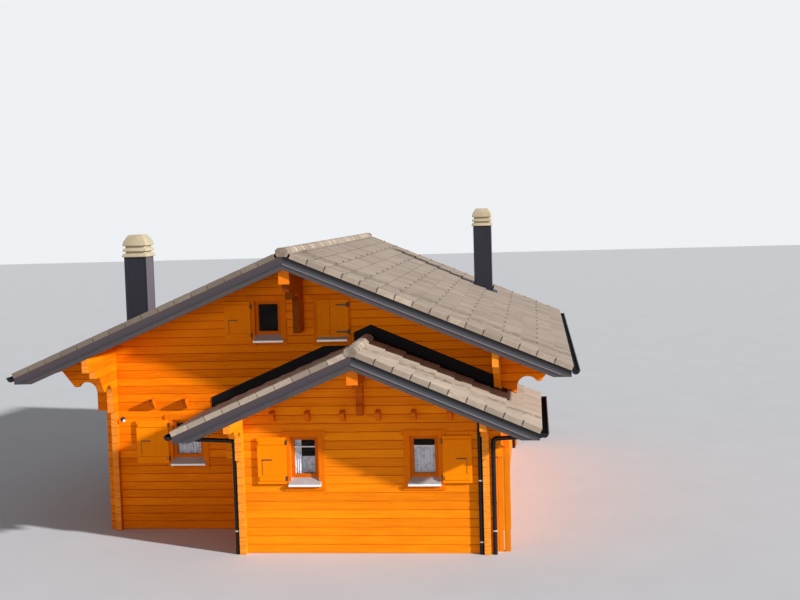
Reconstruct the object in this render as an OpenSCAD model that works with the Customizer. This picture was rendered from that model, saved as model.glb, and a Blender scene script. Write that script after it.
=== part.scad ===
// Alpine chalet of grooved logs with a lower gabled wing in front.
// Millimetres. X runs to the right, Y away from the front, Z up.
// The origin is on the ground at the centre of the main body's footprint.

/* [Log walls] */
// Outer width of the main body
main_width = 7800; // [7200:10:8600]
// Outer depth of the main body
main_depth = 8550; // [7600:10:10000]
// Thickness of every log wall
log_thickness = 120; // [100:5:150]
// Height of one course of logs
log_course = 161; // [155:1:170]
// Depth of the groove between two courses
groove_depth = 10; // [6:1:20]
// Outer width of the wing
wing_width = 4640; // [4300:10:4900]
// How far the wing's front wall stands in front of the main front wall
wing_projection = 1743; // [1400:1:2200]
// Distance of the wing's right wall from the main body's right side
wing_side_gap = 200; // [180:10:600]

/* [Main roof] */
// Height of the main roof's tile surface at the ridge
main_ridge_z = 5600; // [5450:10:5800]
// Pitch of the main roof in degrees
main_pitch = 22.75; // [21.5:0.25:24]
// Level distance from the main ridge to the tips of the eave tiles
main_half_span = 5250; // [5000:10:5500]
// How far the main roof runs past the gable walls
main_overhang = 1640; // [1400:10:1900]

/* [Wing roof] */
// Height of the wing roof's tile surface at the ridge
wing_ridge_z = 3880; // [3800:10:3950]
// Pitch of the wing roof in degrees
wing_pitch = 23.25; // [22:0.25:24]
// Level distance from the wing's ridge to the tips of the eave tiles
wing_half_span = 3280; // [3150:10:3400]
// How far the wing roof runs past the wing's front wall
wing_overhang = 1050; // [900:10:1200]
// How far the eave strip beside the main body runs back from the main front wall
strip_length = 1375; // [800:5:2500]
// Width of the sheet metal between the wing's tiles and the main wall
flashing_width = 480; // [200:10:700]
// Height to which that sheet metal turns up the main wall
flashing_upstand = 250; // [100:10:350]

/* [Roof build-up] */
// Length of one tile course up the slope
tile_course = 345; // [300:5:400]
// Height of the step from one tile course to the next
tile_lip = 24; // [10:1:40]
// Upright depth of tiles and battens
tile_depth = 75; // [50:5:100]
// Upright depth of rafters and boarding
deck_depth = 225; // [160:5:250]
// How far the tiles reach past the deck at the eaves
tile_reach = 45; // [20:5:80]
// Thickness of the verge boards
board_thickness = 30; // [20:1:45]
// How far the verge boards reach below the deck
board_lap = 58; // [20:1:120]
// Height of the plumb cut at the eaves, from the deck's top down
eave_face = 146; // [100:2:150]
// Thickness of the metal trim over the verge boards
trim_thickness = 12; // [4:1:20]
// Upright distance from the tile surface to the lower edge of the metal trim
trim_drop = 265; // [150:5:290]
// Width of the ridge caps
cap_width = 250; // [200:5:300]
// Height of the ridge caps over the tile surface
cap_rise = 48; // [30:1:80]

/* [Log ends and consoles] */
// How far the lowest log ends stand past a main corner
main_foot = 125; // [90:5:220]
// How far the log ends below the main consoles stand out
main_column = 300; // [270:5:340]
// Radius of the arch cut into the main consoles
main_arch = 205; // [180:5:220]
// How far the hook of the main consoles stands out
main_hook = 760; // [725:5:800]
// How far the second log from the top of the main consoles stands out
main_shoulder = 1215; // [1100:5:1300]
// How far the third log from the top of the main consoles stands out
main_waist = 1005; // [900:5:1080]
// How far the lowest log ends stand past a wing corner
wing_foot = 110; // [80:5:150]
// How far the log ends below the wing consoles stand out
wing_column = 210; // [170:5:240]
// Radius of the arch cut into the wing consoles
wing_arch = 140; // [110:5:150]
// How far the hook of the wing consoles stands out
wing_hook = 600; // [540:5:640]
// How far the log over the hook of the wing consoles stands out
wing_waist = 730; // [680:5:780]
// Distance of the topmost log's end from the verge
log_setback = 50; // [35:5:120]
// Width of the ridge beams
beam_width = 200; // [160:5:240]
// Depth of the ridge beams under the roof
beam_depth = 330; // [250:10:380]
// Width of the log ends below the ridge beams
ridge_log_width = 120; // [80:5:150]
// How far the log ends below the main ridge beam stand out at their foot
main_ridge_column = 530; // [450:10:560]
// How far the log ends below the main ridge beam hang down
main_ridge_drop = 1010; // [850:10:1100]
// How far the log ends below the wing's ridge beam stand out at their foot
wing_ridge_column = 215; // [160:5:260]
// How far the log ends below the wing's ridge beam hang down
wing_ridge_drop = 670; // [600:10:700]
// Depth of the hollow in the log ends below the wing's ridge beam
hollow_depth = 60; // [30:5:90]

/* [Floors] */
// Thickness of the ground floor
ground_floor_depth = 150; // [100:10:300]
// Height of the underside of the upper joists
joist_z = 2462; // [2430:2:2500]
// Depth of a joist
joist_depth = 200; // [160:5:220]
// Width of a joist
joist_width = 80; // [60:5:120]
// How far the joist ends stand out of the walls
joist_reach = 225; // [110:5:260]
// How far out the underside of a joist end begins to rise
joist_shoulder = 70; // [10:5:100]
// Height of the face at a joist's tip
joist_tip = 45; // [20:5:100]
// Spacing of the main joists
main_joist_pitch = 665; // [600:5:700]
// Spacing of the wing joists
wing_joist_pitch = 651; // [600:1:660]
// Thickness of the upper floor's boards
floor_board = 40; // [20:2:60]

/* [Windows] */
// Width of the window openings
window_width = 520; // [460:5:560]
// Width of the openings of the front left and the side windows
wide_window_width = 620; // [560:5:700]
// Height of the window openings on the ground floor
window_height = 770; // [700:5:820]
// Height of the window openings on the upper floor
upper_window_height = 670; // [600:5:700]
// Height of the ground floor's window openings over the ground
main_sill_z = 1450; // [1400:5:1500]
// Height of the wing's window openings over the ground
wing_sill_z = 1408; // [1380:2:1450]
// Height of the upper floor's window openings over the ground
upper_sill_z = 3890; // [3860:5:3920]
// Width of the window frames' rails
frame_width = 55; // [40:5:75]
// Depth of the window frames
frame_depth = 60; // [45:5:70]
// Distance from the wall's face back to the window frames
reveal = 45; // [20:5:55]
// Place of the ground floor window left of the wing
front_window_x = -2370; // [-2600:10:-2300]
// Place of the upper window left of the ridge
upper_left_window_x = -660; // [-800:10:-600]
// Place of the shuttered upper window right of the ridge
upper_right_window_x = 620; // [560:10:800]
// Distance of the wing's left window from the wing's middle
wing_left_window = 1070; // [900:10:1150]
// Distance of the wing's right window from the wing's middle
wing_right_window = 1137; // [1000:1:1180]
// Distance of the rear ground floor windows from the middle
rear_window_x = 2300; // [1700:10:2500]
// Distance of the rear upper windows from the middle
rear_upper_window_x = 640; // [600:10:900]
// Distance of the side windows toward the rear from the middle
side_window_rear = 2000; // [1500:10:2600]
// Distance of the side windows toward the front from the middle
side_window_front = 1200; // [800:10:1500]
// Thickness of the panes
glass_thickness = 24; // [8:2:30]
// Width of the trim posts beside the windows
post_width = 110; // [80:5:130]
// Thickness of the window trims
post_thickness = 25; // [18:1:35]
// Height of the board over the windows
head_board = 100; // [60:5:120]
// How far the board over a window reaches past the posts
head_reach = 40; // [0:5:60]
// Height of the board under the windows
foot_board = 40; // [20:5:60]
// How far the board under a window reaches past the posts
foot_reach = 20; // [0:5:60]
// How far the metal sills stand out of the wall
sill_reach = 85; // [60:5:120]
// How far a sill falls from the window frame to its front edge
sill_drop = 110; // [80:5:130]
// Height of a sill's front edge
sill_edge = 37; // [20:1:50]
// Thickness of the shutters' boards
shutter_thickness = 35; // [25:1:45]
// Width of the shutters
shutter_width = 530; // [480:5:560]
// Width of the shutters of the front left and the side windows
wide_shutter_width = 650; // [600:5:720]
// Width of the shutter battens
batten_width = 80; // [50:5:110]
// Thickness of the shutter battens
batten_thickness = 16; // [8:1:25]

/* [Rear door] */
// Width of the door opening
door_width = 950; // [850:10:1100]
// Height of the door opening over the floor
door_height = 2050; // [1950:10:2150]
// Thickness of the door leaf
door_thickness = 45; // [35:5:60]

/* [Gutters and pipes] */
// Outer radius of the half round gutters
gutter_radius = 75; // [60:1:85]
// Thickness of the gutter metal
gutter_wall = 5; // [3:1:8]
// Radius of the downpipes
pipe_radius = 40; // [30:1:45]
// Height of a pipe clamp
clamp_height = 30; // [20:5:50]
// Height of the lowest clamp on the pipe in front of the wing
clamp_foot = 215; // [100:5:400]
// Height of the lower clamps
clamp_low = 420; // [200:5:900]
// Height of the upper clamps
clamp_high = 1345; // [1000:5:1900]
// Distance of the rear downpipes from the rear wall's face
rear_pipe_end = 395; // [250:5:800]
// How far the rear downpipes run down before they turn to the wall
rear_pipe_drop = 145; // [60:5:300]
// How far the rear downpipes have come down where they meet the wall
rear_pipe_fall = 488; // [350:2:700]

/* [Chimneys] */
// Width of the chimney shafts
shaft_width = 445; // [380:5:480]
// Depth of the chimney shafts
shaft_depth = 500; // [420:5:540]
// Distance of the left chimney from the left wall
left_chimney_side = 150; // [20:5:600]
// Distance of the left chimney from the front wall
left_chimney_end = 205; // [20:5:800]
// Distance of the right chimney from the right wall
right_chimney_side = 290; // [20:5:600]
// Distance of the right chimney from the rear wall
right_chimney_end = 55; // [20:5:800]
// Height of the left chimney's top
left_chimney_top = 5920; // [5750:10:6100]
// Height of the right chimney's top
right_chimney_top = 6240; // [6100:10:6500]
// Height of the concrete caps
chimney_cap_height = 445; // [380:5:500]
// How far the caps reach past the shafts
cap_reach = 42; // [20:1:70]
// Width of the caps at their top
cap_top_width = 290; // [250:5:350]

/* [Small pieces] */
// Width of the panel beside the wing
panel_width = 240; // [200:5:300]
// Height of the panel's point
panel_height = 1957; // [1800:1:2100]
// Radius of the wall lamp's globe
globe_radius = 46; // [30:1:60]

/* [Hidden] */
$fn = 48;

timber = "#c86414";
pale_timber = "#e08a3a";
dark_metal = "#3c3a3f";
tile_grey = "#8c8880";
concrete = "#c9b896";
sill_metal = "#b9bdc2";
// How far a cutting solid runs past what it cuts
past = 50;

main_slope = tan(main_pitch);
wing_slope = tan(wing_pitch);
roof_depth = tile_depth + deck_depth;
board_drop = roof_depth + board_lap;
main_left_x = -main_width / 2;
main_right_x = main_width / 2;
main_front_y = -main_depth / 2;
main_rear_y = main_depth / 2;
inner_left_x = main_left_x + log_thickness;
inner_right_x = main_right_x - log_thickness;
inner_front_y = main_front_y + log_thickness;
inner_rear_y = main_rear_y - log_thickness;
main_verge_y = main_rear_y + main_overhang;
wing_right_x = main_right_x - wing_side_gap;
wing_left_x = wing_right_x - wing_width;
wing_x = (wing_left_x + wing_right_x) / 2;
wing_inner_left_x = wing_left_x + log_thickness;
wing_inner_right_x = wing_right_x - log_thickness;
wing_front_y = main_front_y - wing_projection;
wing_inner_y = wing_front_y + log_thickness;
wing_verge_y = wing_front_y - wing_overhang;
wing_eave_x = wing_x + wing_half_span;
strip_x = main_right_x + 160;
strip_end_y = main_front_y + strip_length;
joist_top = joist_z + joist_depth;
upper_floor_top = joist_top + floor_board;
sky = 8000;
// Joint lines at which the consoles step, counted in courses from the ground
main_foot_course = 15;
main_hook_course = 18;
main_waist_course = 20;
main_top_course = 21;
wing_foot_course = 11;
wing_hook_course = 14;
wing_top_course = 15;
// Height of the arches' crowns over the hooks' undersides
main_arch_rise = 100;
wing_arch_rise = 76;

// Height of the main tile surface and of the roof's underside at a place along X
function main_tile(x) = main_ridge_z - main_slope * abs(x);
function main_under(x) = main_tile(x) - roof_depth;
function wing_tile(x) = wing_ridge_z - wing_slope * abs(x - wing_x);
function wing_under(x) = wing_tile(x) - roof_depth;

// A window: wall, place along it, sill height, width, height, shutter's width, shutter's side
function small_window(wall, x, side) =
    [wall, x, wall == "wing" ? wing_sill_z : main_sill_z, window_width, window_height, shutter_width, side];
function wide_window(wall, x, side) =
    [wall, x, main_sill_z, wide_window_width, window_height, wide_shutter_width, side];
function upper_window(wall, x, side) =
    [wall, x, upper_sill_z, window_width, upper_window_height, shutter_width, side];

front_windows = [wide_window("front", front_window_x, -1), upper_window("front", upper_left_window_x, -1),
                 upper_window("front", upper_right_window_x, 0)];
wing_windows = [small_window("wing", wing_x - wing_left_window, -1),
                small_window("wing", wing_x + wing_right_window, 1)];
rear_windows = [small_window("rear", -rear_window_x, -1), small_window("rear", rear_window_x, 1),
                upper_window("rear", -rear_upper_window_x, -1), upper_window("rear", rear_upper_window_x, 1)];
left_windows = [wide_window("left", -side_window_rear, -1), wide_window("left", side_window_front, -1)];
right_windows = [wide_window("right", side_window_rear, -1), wide_window("right", -side_window_front, -1)];
windows = concat(front_windows, wing_windows, rear_windows, left_windows, right_windows);

// Local frame of a wall: x along it as seen from outside, y into it, z up
module on_wall(wall) {
    if (wall == "front")
        translate([0, main_front_y, 0]) children();
    if (wall == "wing")
        translate([0, wing_front_y, 0]) children();
    if (wall == "rear")
        translate([0, main_rear_y, 0]) rotate(180) children();
    if (wall == "left")
        translate([main_left_x, 0, 0]) rotate(-90) children();
    if (wall == "right")
        translate([main_right_x, 0, 0]) rotate(90) children();
    if (wall == "wing_left")
        translate([wing_left_x, 0, 0]) rotate(-90) children();
    if (wall == "wing_right")
        translate([wing_right_x, 0, 0]) rotate(90) children();
}

// Stands a profile drawn in y and z along x from one place to another
module along_x(from, to) {
    translate([from, 0, 0]) rotate([90, 0, 90]) linear_extrude(to - from) children();
}

// Stands an outline drawn in x and z along y from one place to another
module along_y(from, to) {
    translate([0, to, 0]) rotate([90, 0, 0]) linear_extrude(to - from) children();
}

// Section of a log wall: the outer face at 0 has a groove at each joint
function log_section(height) = concat(
    [[log_thickness, 0], [log_thickness, height], [0, height]],
    [for (k = [floor((height - groove_depth - 1) / log_course):-1:1], step = [1, 0, -1])
        [step == 0 ? groove_depth : 0, k * log_course + step * groove_depth]],
    [[0, 0]]
);

module logs(from, to, height) {
    along_x(from, to) polygon(log_section(height));
}

// Outline of a stepped console: distance from the corner, then height
function main_console(height) =
    let (spring = main_hook_course * log_course + main_arch_rise - main_arch,
         tip = asin((main_arch - main_arch_rise) / main_arch),
         top_reach = main_overhang - log_setback)
    concat(
        [[0, 0], [main_foot, 0], [main_foot, main_foot_course * log_course],
         [main_column, main_foot_course * log_course]],
        [for (a = [180:-12:tip])
            [main_column + main_arch * (1 + cos(a)), spring + main_arch * sin(a)]],
        [[main_column + main_arch * (1 + cos(tip)), main_hook_course * log_course],
         [main_hook, main_hook_course * log_course],
         [main_waist, main_waist_course * log_course],
         [main_shoulder, main_waist_course * log_course],
         [main_shoulder, main_top_course * log_course],
         [top_reach, main_top_course * log_course],
         [top_reach, height], [0, height]]
    );

function wing_console(height) =
    let (spring = wing_hook_course * log_course + wing_arch_rise - wing_arch,
         tip = asin((wing_arch - wing_arch_rise) / wing_arch),
         top_reach = wing_overhang - log_setback)
    concat(
        [[0, 0], [wing_foot, 0], [wing_foot, wing_foot_course * log_course],
         [wing_column, wing_foot_course * log_course]],
        [for (a = [180:-12:tip])
            [wing_column + wing_arch * (1 + cos(a)), spring + wing_arch * sin(a)]],
        [[wing_column + wing_arch * (1 + cos(tip)), wing_hook_course * log_course],
         [wing_hook, wing_hook_course * log_course],
         [wing_waist, wing_top_course * log_course],
         [top_reach, wing_top_course * log_course],
         [top_reach, height], [0, height]]
    );

// Everything above the underside of the main roof
module above_main_roof() {
    reach = main_half_span + main_overhang;
    run = main_verge_y + past;
    along_y(-run, run)
        polygon([[-reach, main_under(reach)], [0, main_under(0)], [reach, main_under(reach)],
                 [reach, sky], [-reach, sky]]);
}

// Everything above the underside of the wing roof
module above_wing_roof() {
    reach = wing_half_span + past;
    along_y(wing_verge_y - past, main_front_y + past)
        polygon([[wing_x - reach, wing_under(wing_x + reach)], [wing_x, wing_under(wing_x)],
                 [wing_x + reach, wing_under(wing_x + reach)],
                 [wing_x + reach, sky], [wing_x - reach, sky]]);
}

// The wing roof's own thickness, from its underside to its tile surface
module wing_roof_band(back_y) {
    reach = wing_half_span + past;
    along_y(wing_verge_y - past, back_y)
        polygon([[wing_x, wing_under(wing_x)], [wing_x + reach, wing_under(wing_x + reach)],
                 [wing_x + reach, wing_tile(wing_x + reach)], [wing_x, wing_tile(wing_x)]]);
}

// How far the trim posts run down below a window
trim_foot = 190;
// Slope of the window sills and thickness of their sheet
sill_slope = sill_drop / (reveal + sill_reach);
sill_sheet = 8;
sill_wing = 40;

// Window openings, bevelled under the sills
module window_cuts(list) {
    for (w = list)
        on_wall(w[0]) translate([w[1], 0, w[2]]) {
            translate([-w[3] / 2, -past, 0]) cube([w[3], log_thickness + 2 * past, w[4]]);
            along_x(-w[3] / 2, w[3] / 2)
                polygon([[reveal, past], [reveal, -sill_sheet], [0, -sill_sheet - sill_slope * reveal],
                         [-past, -sill_sheet - sill_slope * reveal], [-past, past]]);
        }
}

// Openings in the walls for the joists
module joist_cuts() {
    main_joist_bodies();
    wing_joist_bodies();
}

module ground_floor() {
    color(pale_timber) {
        translate([inner_left_x, inner_front_y, 0])
            cube([inner_right_x - inner_left_x, inner_rear_y - inner_front_y, ground_floor_depth]);
        translate([wing_inner_left_x, wing_inner_y, 0])
            cube([wing_inner_right_x - wing_inner_left_x, main_front_y - wing_inner_y, ground_floor_depth]);
    }
}

module upper_floor() {
    color(pale_timber)
        difference() {
            union() {
                translate([inner_left_x, inner_front_y, joist_top])
                    cube([inner_right_x - inner_left_x, inner_rear_y - inner_front_y, floor_board]);
                translate([wing_inner_left_x, wing_inner_y, joist_top])
                    cube([wing_inner_right_x - wing_inner_left_x, main_front_y - wing_inner_y, floor_board]);
            }
            chimney_shaft(left_chimney_x, left_chimney_y, sky);
            chimney_shaft(right_chimney_x, right_chimney_y, sky);
            above_wing_roof_inside();
        }
}

// Clears the wing's upper boards where the roof comes down to them
module above_wing_roof_inside() {
    difference() {
        above_wing_roof();
        translate([inner_left_x, inner_front_y - log_thickness / 2, 0])
            cube([main_width, main_depth, sky]);
    }
}

// Distance of the first main joist from the left wall, and the number of joists
first_joist_side = 740;
main_joist_count = floor((main_width - 2 * log_thickness - first_joist_side) / main_joist_pitch);
main_joist_places = [for (k = [0:main_joist_count - 1])
    inner_left_x + first_joist_side + k * main_joist_pitch];
main_joist_clear = wing_x - wing_half_span - joist_width;
first_wing_joist = wing_x - 2.5 * wing_joist_pitch;

// The lower corners of a joist's end, the foot first; an end outside a wall rises from its shoulder
function joist_end(y, inward, shows) = shows
    ? [[y + inward * (joist_reach - joist_shoulder), joist_z], [y, joist_top - joist_tip]]
    : [[y, joist_z]];

// A joist at the place x, from front to rear
module joist_body(x, front, rear, front_shows, rear_shows) {
    foot = joist_end(front, 1, front_shows);
    heel = joist_end(rear, -1, rear_shows);
    lower = front_shows ? [foot[1], foot[0]] : foot;
    translate([x - joist_width / 2, 0, 0])
        rotate([90, 0, 90])
            linear_extrude(joist_width)
                polygon(concat([[rear, joist_top], [front, joist_top]], lower, heel));
}

module main_joist_bodies() {
    for (x = main_joist_places) {
        free = x < main_joist_clear;
        front = free ? main_front_y - joist_reach : inner_front_y;
        joist_body(x, front, main_rear_y + joist_reach, free, true);
    }
}

module main_joists() {
    color(timber)
        difference() {
            main_joist_bodies();
            chimney_shaft(left_chimney_x, left_chimney_y, sky);
            chimney_shaft(right_chimney_x, right_chimney_y, sky);
        }
}

module wing_joist_bodies() {
    for (k = [0:5])
        joist_body(first_wing_joist + k * wing_joist_pitch, wing_front_y - joist_reach,
                   wing_front_y + wing_projection, true, false);
}

module wing_joists() {
    color(timber)
        difference() {
            wing_joist_bodies();
            above_wing_roof_inside();
        }
}

// A gable wall's logs between the side walls
module gable_logs() {
    difference() {
        logs(inner_left_x, inner_right_x, main_ridge_z - roof_depth);
        translate([0, -main_front_y, 0]) above_main_roof();
        beam_pocket(0, main_under(0) - beam_depth);
    }
}

// The space that a ridge beam takes out of a gable wall
module beam_pocket(x, bottom) {
    translate([x - beam_width / 2, -past, bottom]) cube([beam_width, log_thickness + 2 * past, sky]);
}

module front_wall() {
    color(timber)
        difference() {
            on_wall("front") gable_logs();
            window_cuts(front_windows);
            translate([wing_inner_left_x, main_front_y - past, ground_floor_depth])
                cube([wing_inner_right_x - wing_inner_left_x, log_thickness + 2 * past,
                      joist_z - ground_floor_depth]);
            joist_cuts();
        }
}

module rear_wall() {
    color(timber)
        difference() {
            on_wall("rear") gable_logs();
            window_cuts(rear_windows);
            on_wall("rear")
                translate([-door_width / 2, -past, ground_floor_depth])
                    cube([door_width, log_thickness + 2 * past, door_height]);
            joist_cuts();
        }
}

// A side wall's logs with a console at each end
module side_logs() {
    height = main_under(main_right_x) + main_slope * log_thickness;
    reach = main_overhang - log_setback;
    half = main_depth / 2;
    stood_out = [for (q = main_console(height)) if (q[0] > 0) q];
    intersection() {
        logs(-half - reach, half + reach, height);
        along_y(-past, log_thickness + past)
            polygon(concat([for (q = stood_out) [half + q[0], q[1]]],
                           [for (k = [len(stood_out) - 1:-1:0]) [-half - stood_out[k][0], stood_out[k][1]]]));
    }
}

module left_wall() {
    color(timber)
        difference() {
            on_wall("left") side_logs();
            above_main_roof();
            window_cuts(left_windows);
        }
}

module right_wall() {
    color(timber)
        difference() {
            on_wall("right") side_logs();
            above_main_roof();
            window_cuts(right_windows);
            wing_roof_band(main_front_y);
        }
}

module wing_front_wall() {
    color(timber)
        difference() {
            on_wall("wing") logs(wing_inner_left_x, wing_inner_right_x, wing_ridge_z - roof_depth);
            above_wing_roof();
            window_cuts(wing_windows);
            wing_joist_bodies();
            on_wall("wing") beam_pocket(wing_x, wing_under(wing_x) - beam_depth);
        }
}

// A wing side wall from its console back to the main front wall, x toward the front
module wing_side_logs() {
    height = wing_under(wing_right_x) + wing_slope * log_thickness;
    reach = wing_overhang - log_setback;
    intersection() {
        logs(-main_front_y, -wing_front_y + reach, height);
        along_y(-past, log_thickness + past)
            polygon(concat([[-main_front_y, 0]],
                           [for (q = wing_console(height)) if (q[0] > 0) [q[0] - wing_front_y, q[1]]],
                           [[-main_front_y, height]]));
    }
}

module wing_left_wall() {
    color(timber)
        difference() {
            on_wall("wing_left") wing_side_logs();
            above_wing_roof();
        }
}

module wing_right_wall() {
    color(timber)
        difference() {
            on_wall("wing_right") mirror([1, 0, 0]) wing_side_logs();
            above_wing_roof();
        }
}

// A gable wall's log ends and console past its right hand corner
module corner_log_stack(corner, reach, height) {
    intersection() {
        logs(corner, corner + reach, height);
        along_y(-past, log_thickness + past) translate([corner, 0]) children();
    }
}

module main_corner_logs() {
    height = main_under(main_right_x);
    reach = main_overhang - log_setback;
    color(timber)
        difference() {
            for (wall = ["front", "rear"], side = [0, 1])
                on_wall(wall) mirror([side, 0, 0])
                    corner_log_stack(main_right_x, reach, height) polygon(main_console(height));
            above_main_roof();
            wing_roof_band(inner_front_y + past);
        }
}

module wing_corner_logs() {
    height = wing_under(wing_right_x);
    reach = wing_overhang - log_setback;
    color(timber)
        difference() {
            for (side = [0, 1])
                on_wall("wing") translate([wing_x, 0, 0]) mirror([side, 0, 0])
                    corner_log_stack(wing_width / 2, reach, height) polygon(wing_console(height));
            above_wing_roof();
        }
}

// A ridge beam's outline under the two slopes
module beam_outline(x, apex, slope) {
    half = beam_width / 2;
    translate([x, apex])
        polygon([[-half, -beam_depth], [half, -beam_depth], [half, -half * slope], [0, 0],
                 [-half, -half * slope]]);
}

module main_ridge_beam_body() {
    end = main_verge_y - board_thickness - log_setback;
    along_y(-end, end) beam_outline(0, main_under(0), main_slope);
}

// Logs right below the ridge beams, down from the top one: reach and distance of the underside
main_ridge_steps = [[1450, 150], [1200, 310]];
wing_ridge_steps = [[650, 120]];
hollow_height = 245;

// Outline of the log ends below a ridge beam: distance from the wall, then height
function ridge_console(top, steps, column, drop, arch, rise) =
    let (count = len(steps),
         hook = top - steps[count - 1][1],
         spring = hook + rise - arch,
         tip = asin((arch - rise) / arch))
    concat(
        [[0, top - drop], [column, top - drop]],
        [for (a = [180:-12:tip]) [column + arch * (1 + cos(a)), spring + arch * sin(a)]],
        [[column + arch * (1 + cos(tip)), hook]],
        [for (k = [count - 1:-1:0], part = [0, 1])
            [steps[k][0], top - (part == 0 ? steps[k][1] : k == 0 ? 0 : steps[k - 1][1])]],
        [[0, top]]
    );

module ridge_log_ends(outline) {
    along_x(-ridge_log_width / 2, ridge_log_width / 2)
        polygon([for (q = outline) [-q[0], q[1]]]);
}

module main_ridge_beam() {
    top = main_under(0) - beam_depth;
    color(timber) {
        main_ridge_beam_body();
        for (wall = ["front", "rear"])
            on_wall(wall)
                ridge_log_ends(ridge_console(top, main_ridge_steps, main_ridge_column, main_ridge_drop,
                                             main_arch, main_arch_rise));
    }
}

module wing_ridge_beam_body() {
    end = wing_verge_y + board_thickness + log_setback;
    along_y(end, main_front_y) beam_outline(wing_x, wing_under(wing_x), wing_slope);
}

module wing_ridge_beam() {
    top = wing_under(wing_x) - beam_depth;
    hollow_radius = (hollow_height * hollow_height / 4 + hollow_depth * hollow_depth) / (2 * hollow_depth);
    hollow_z = top - wing_ridge_drop + log_course + hollow_height / 2;
    color(timber) {
        wing_ridge_beam_body();
        on_wall("wing")
            translate([wing_x, 0, 0])
                difference() {
                    ridge_log_ends(ridge_console(top, wing_ridge_steps, wing_ridge_column, wing_ridge_drop,
                                                 wing_arch, wing_arch_rise));
                    along_x(-ridge_log_width, ridge_log_width)
                        translate([-wing_ridge_column - hollow_radius + hollow_depth, hollow_z])
                            circle(hollow_radius);
                }
    }
}

// Height of the level cut below the plumb cut at the eaves
function eave_level(slope, ridge_z, edge) = ridge_z - slope * edge - tile_depth - eave_face;

// Half of a roof deck from its slope, the tile height at the ridge and the half span
module deck_half(slope, ridge_z, half_span) {
    edge = half_span - tile_reach;
    level = eave_level(slope, ridge_z, edge);
    polygon([[0, ridge_z - tile_depth], [edge, ridge_z - tile_depth - slope * edge], [edge, level],
             [edge - (deck_depth - eave_face) / slope, level], [0, ridge_z - roof_depth]]);
}

module main_deck(side) {
    edge = main_verge_y - board_thickness;
    difference() {
        along_y(-edge, edge) mirror([side, 0]) deck_half(main_slope, main_ridge_z, main_half_span);
        chimney_shaft(left_chimney_x, left_chimney_y, sky);
        chimney_shaft(right_chimney_x, right_chimney_y, sky);
    }
}

module main_roof_left() {
    color(timber) main_deck(1);
}

module main_roof_right() {
    color(timber) main_deck(0);
}

module wing_roof_left() {
    color(timber)
        translate([wing_x, 0, 0])
            along_y(wing_verge_y + board_thickness, main_front_y)
                mirror([1, 0]) deck_half(wing_slope, wing_ridge_z, wing_half_span);
}

module wing_roof_right() {
    color(timber)
        difference() {
            translate([wing_x, 0, 0])
                along_y(wing_verge_y + board_thickness, strip_end_y)
                    deck_half(wing_slope, wing_ridge_z, wing_half_span);
            translate([0, main_front_y, 0]) cube([main_right_x, main_depth, sky]);
        }
}

// Half of a tile layer: courses step up from the eave to the ridge
function tile_half(slope, ridge_z, half_span, pitch) =
    let (run = tile_course * cos(pitch), count = floor(half_span / run))
    concat(
        [[half_span, ridge_z - tile_depth - slope * half_span]],
        [for (k = [0:count - 1], part = [0, 1])
            let (x = half_span - (k + part) * run)
            [x, ridge_z - slope * x - part * tile_lip]],
        [[half_span - count * run, ridge_z - slope * (half_span - count * run)],
         [0, ridge_z], [0, ridge_z - tile_depth]]
    );

module main_tiles(side) {
    edge = main_verge_y + trim_thickness;
    color(tile_grey)
        difference() {
            along_y(-edge, edge) mirror([side, 0])
                polygon(tile_half(main_slope, main_ridge_z, main_half_span, main_pitch));
            chimney_shaft(left_chimney_x, left_chimney_y, sky);
            chimney_shaft(right_chimney_x, right_chimney_y, sky);
        }
}

module main_tiles_left() {
    main_tiles(1);
}

module main_tiles_right() {
    main_tiles(0);
}

module wing_tiles_left() {
    color(tile_grey)
        translate([wing_x, 0, 0])
            along_y(wing_verge_y - trim_thickness, main_front_y - flashing_width)
                mirror([1, 0]) polygon(tile_half(wing_slope, wing_ridge_z, wing_half_span, wing_pitch));
}

module wing_tiles_right() {
    color(tile_grey)
        difference() {
            translate([wing_x, 0, 0])
                along_y(wing_verge_y - trim_thickness, strip_end_y)
                    polygon(tile_half(wing_slope, wing_ridge_z, wing_half_span, wing_pitch));
            translate([0, main_front_y - flashing_width, 0]) cube([strip_x, main_depth, sky]);
        }
}

// Outline of the ridge caps over both slopes
module cap_outline(slope, ridge_z) {
    half = cap_width / 2;
    low = ridge_z - slope * half;
    rise = cap_rise + slope * half;
    edge = 10;
    polygon(concat(
        [[0, ridge_z], [half, low]],
        [for (a = [0:15:180]) [half * cos(a), low + edge + (rise - edge) * sin(a)]],
        [[-half, low]]
    ));
}

module main_ridge_caps() {
    edge = main_verge_y + trim_thickness;
    color(tile_grey) along_y(-edge, edge) cap_outline(main_slope, main_ridge_z);
}

module wing_ridge_caps() {
    color(tile_grey)
        translate([wing_x, 0, 0])
            along_y(wing_verge_y - trim_thickness, main_front_y - flashing_width)
                cap_outline(wing_slope, wing_ridge_z);
}

// A board below the tiles that follows one slope, its foot cut level at the eave
module verge_outline(slope, ridge_z, edge, low_drop) {
    foot = max(0, low_drop - tile_depth - eave_face);
    z = ridge_z - slope * edge;
    polygon([[0, ridge_z - tile_depth], [edge, z - tile_depth], [edge, z - low_drop + foot],
             [edge - foot / slope, z - low_drop + foot], [0, ridge_z - low_drop]]);
}

module main_verge_boards() {
    back = main_verge_y - board_thickness;
    color(dark_metal)
        for (from = [-main_verge_y, back], side = [0, 1])
            along_y(from, from + board_thickness) mirror([side, 0])
                verge_outline(main_slope, main_ridge_z, main_half_span - tile_reach, board_drop);
}

module wing_verge_boards() {
    color(dark_metal)
        translate([wing_x, 0, 0])
            for (side = [0, 1])
                along_y(wing_verge_y, wing_verge_y + board_thickness) mirror([side, 0])
                    verge_outline(wing_slope, wing_ridge_z, wing_half_span - tile_reach, board_drop);
}

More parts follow.
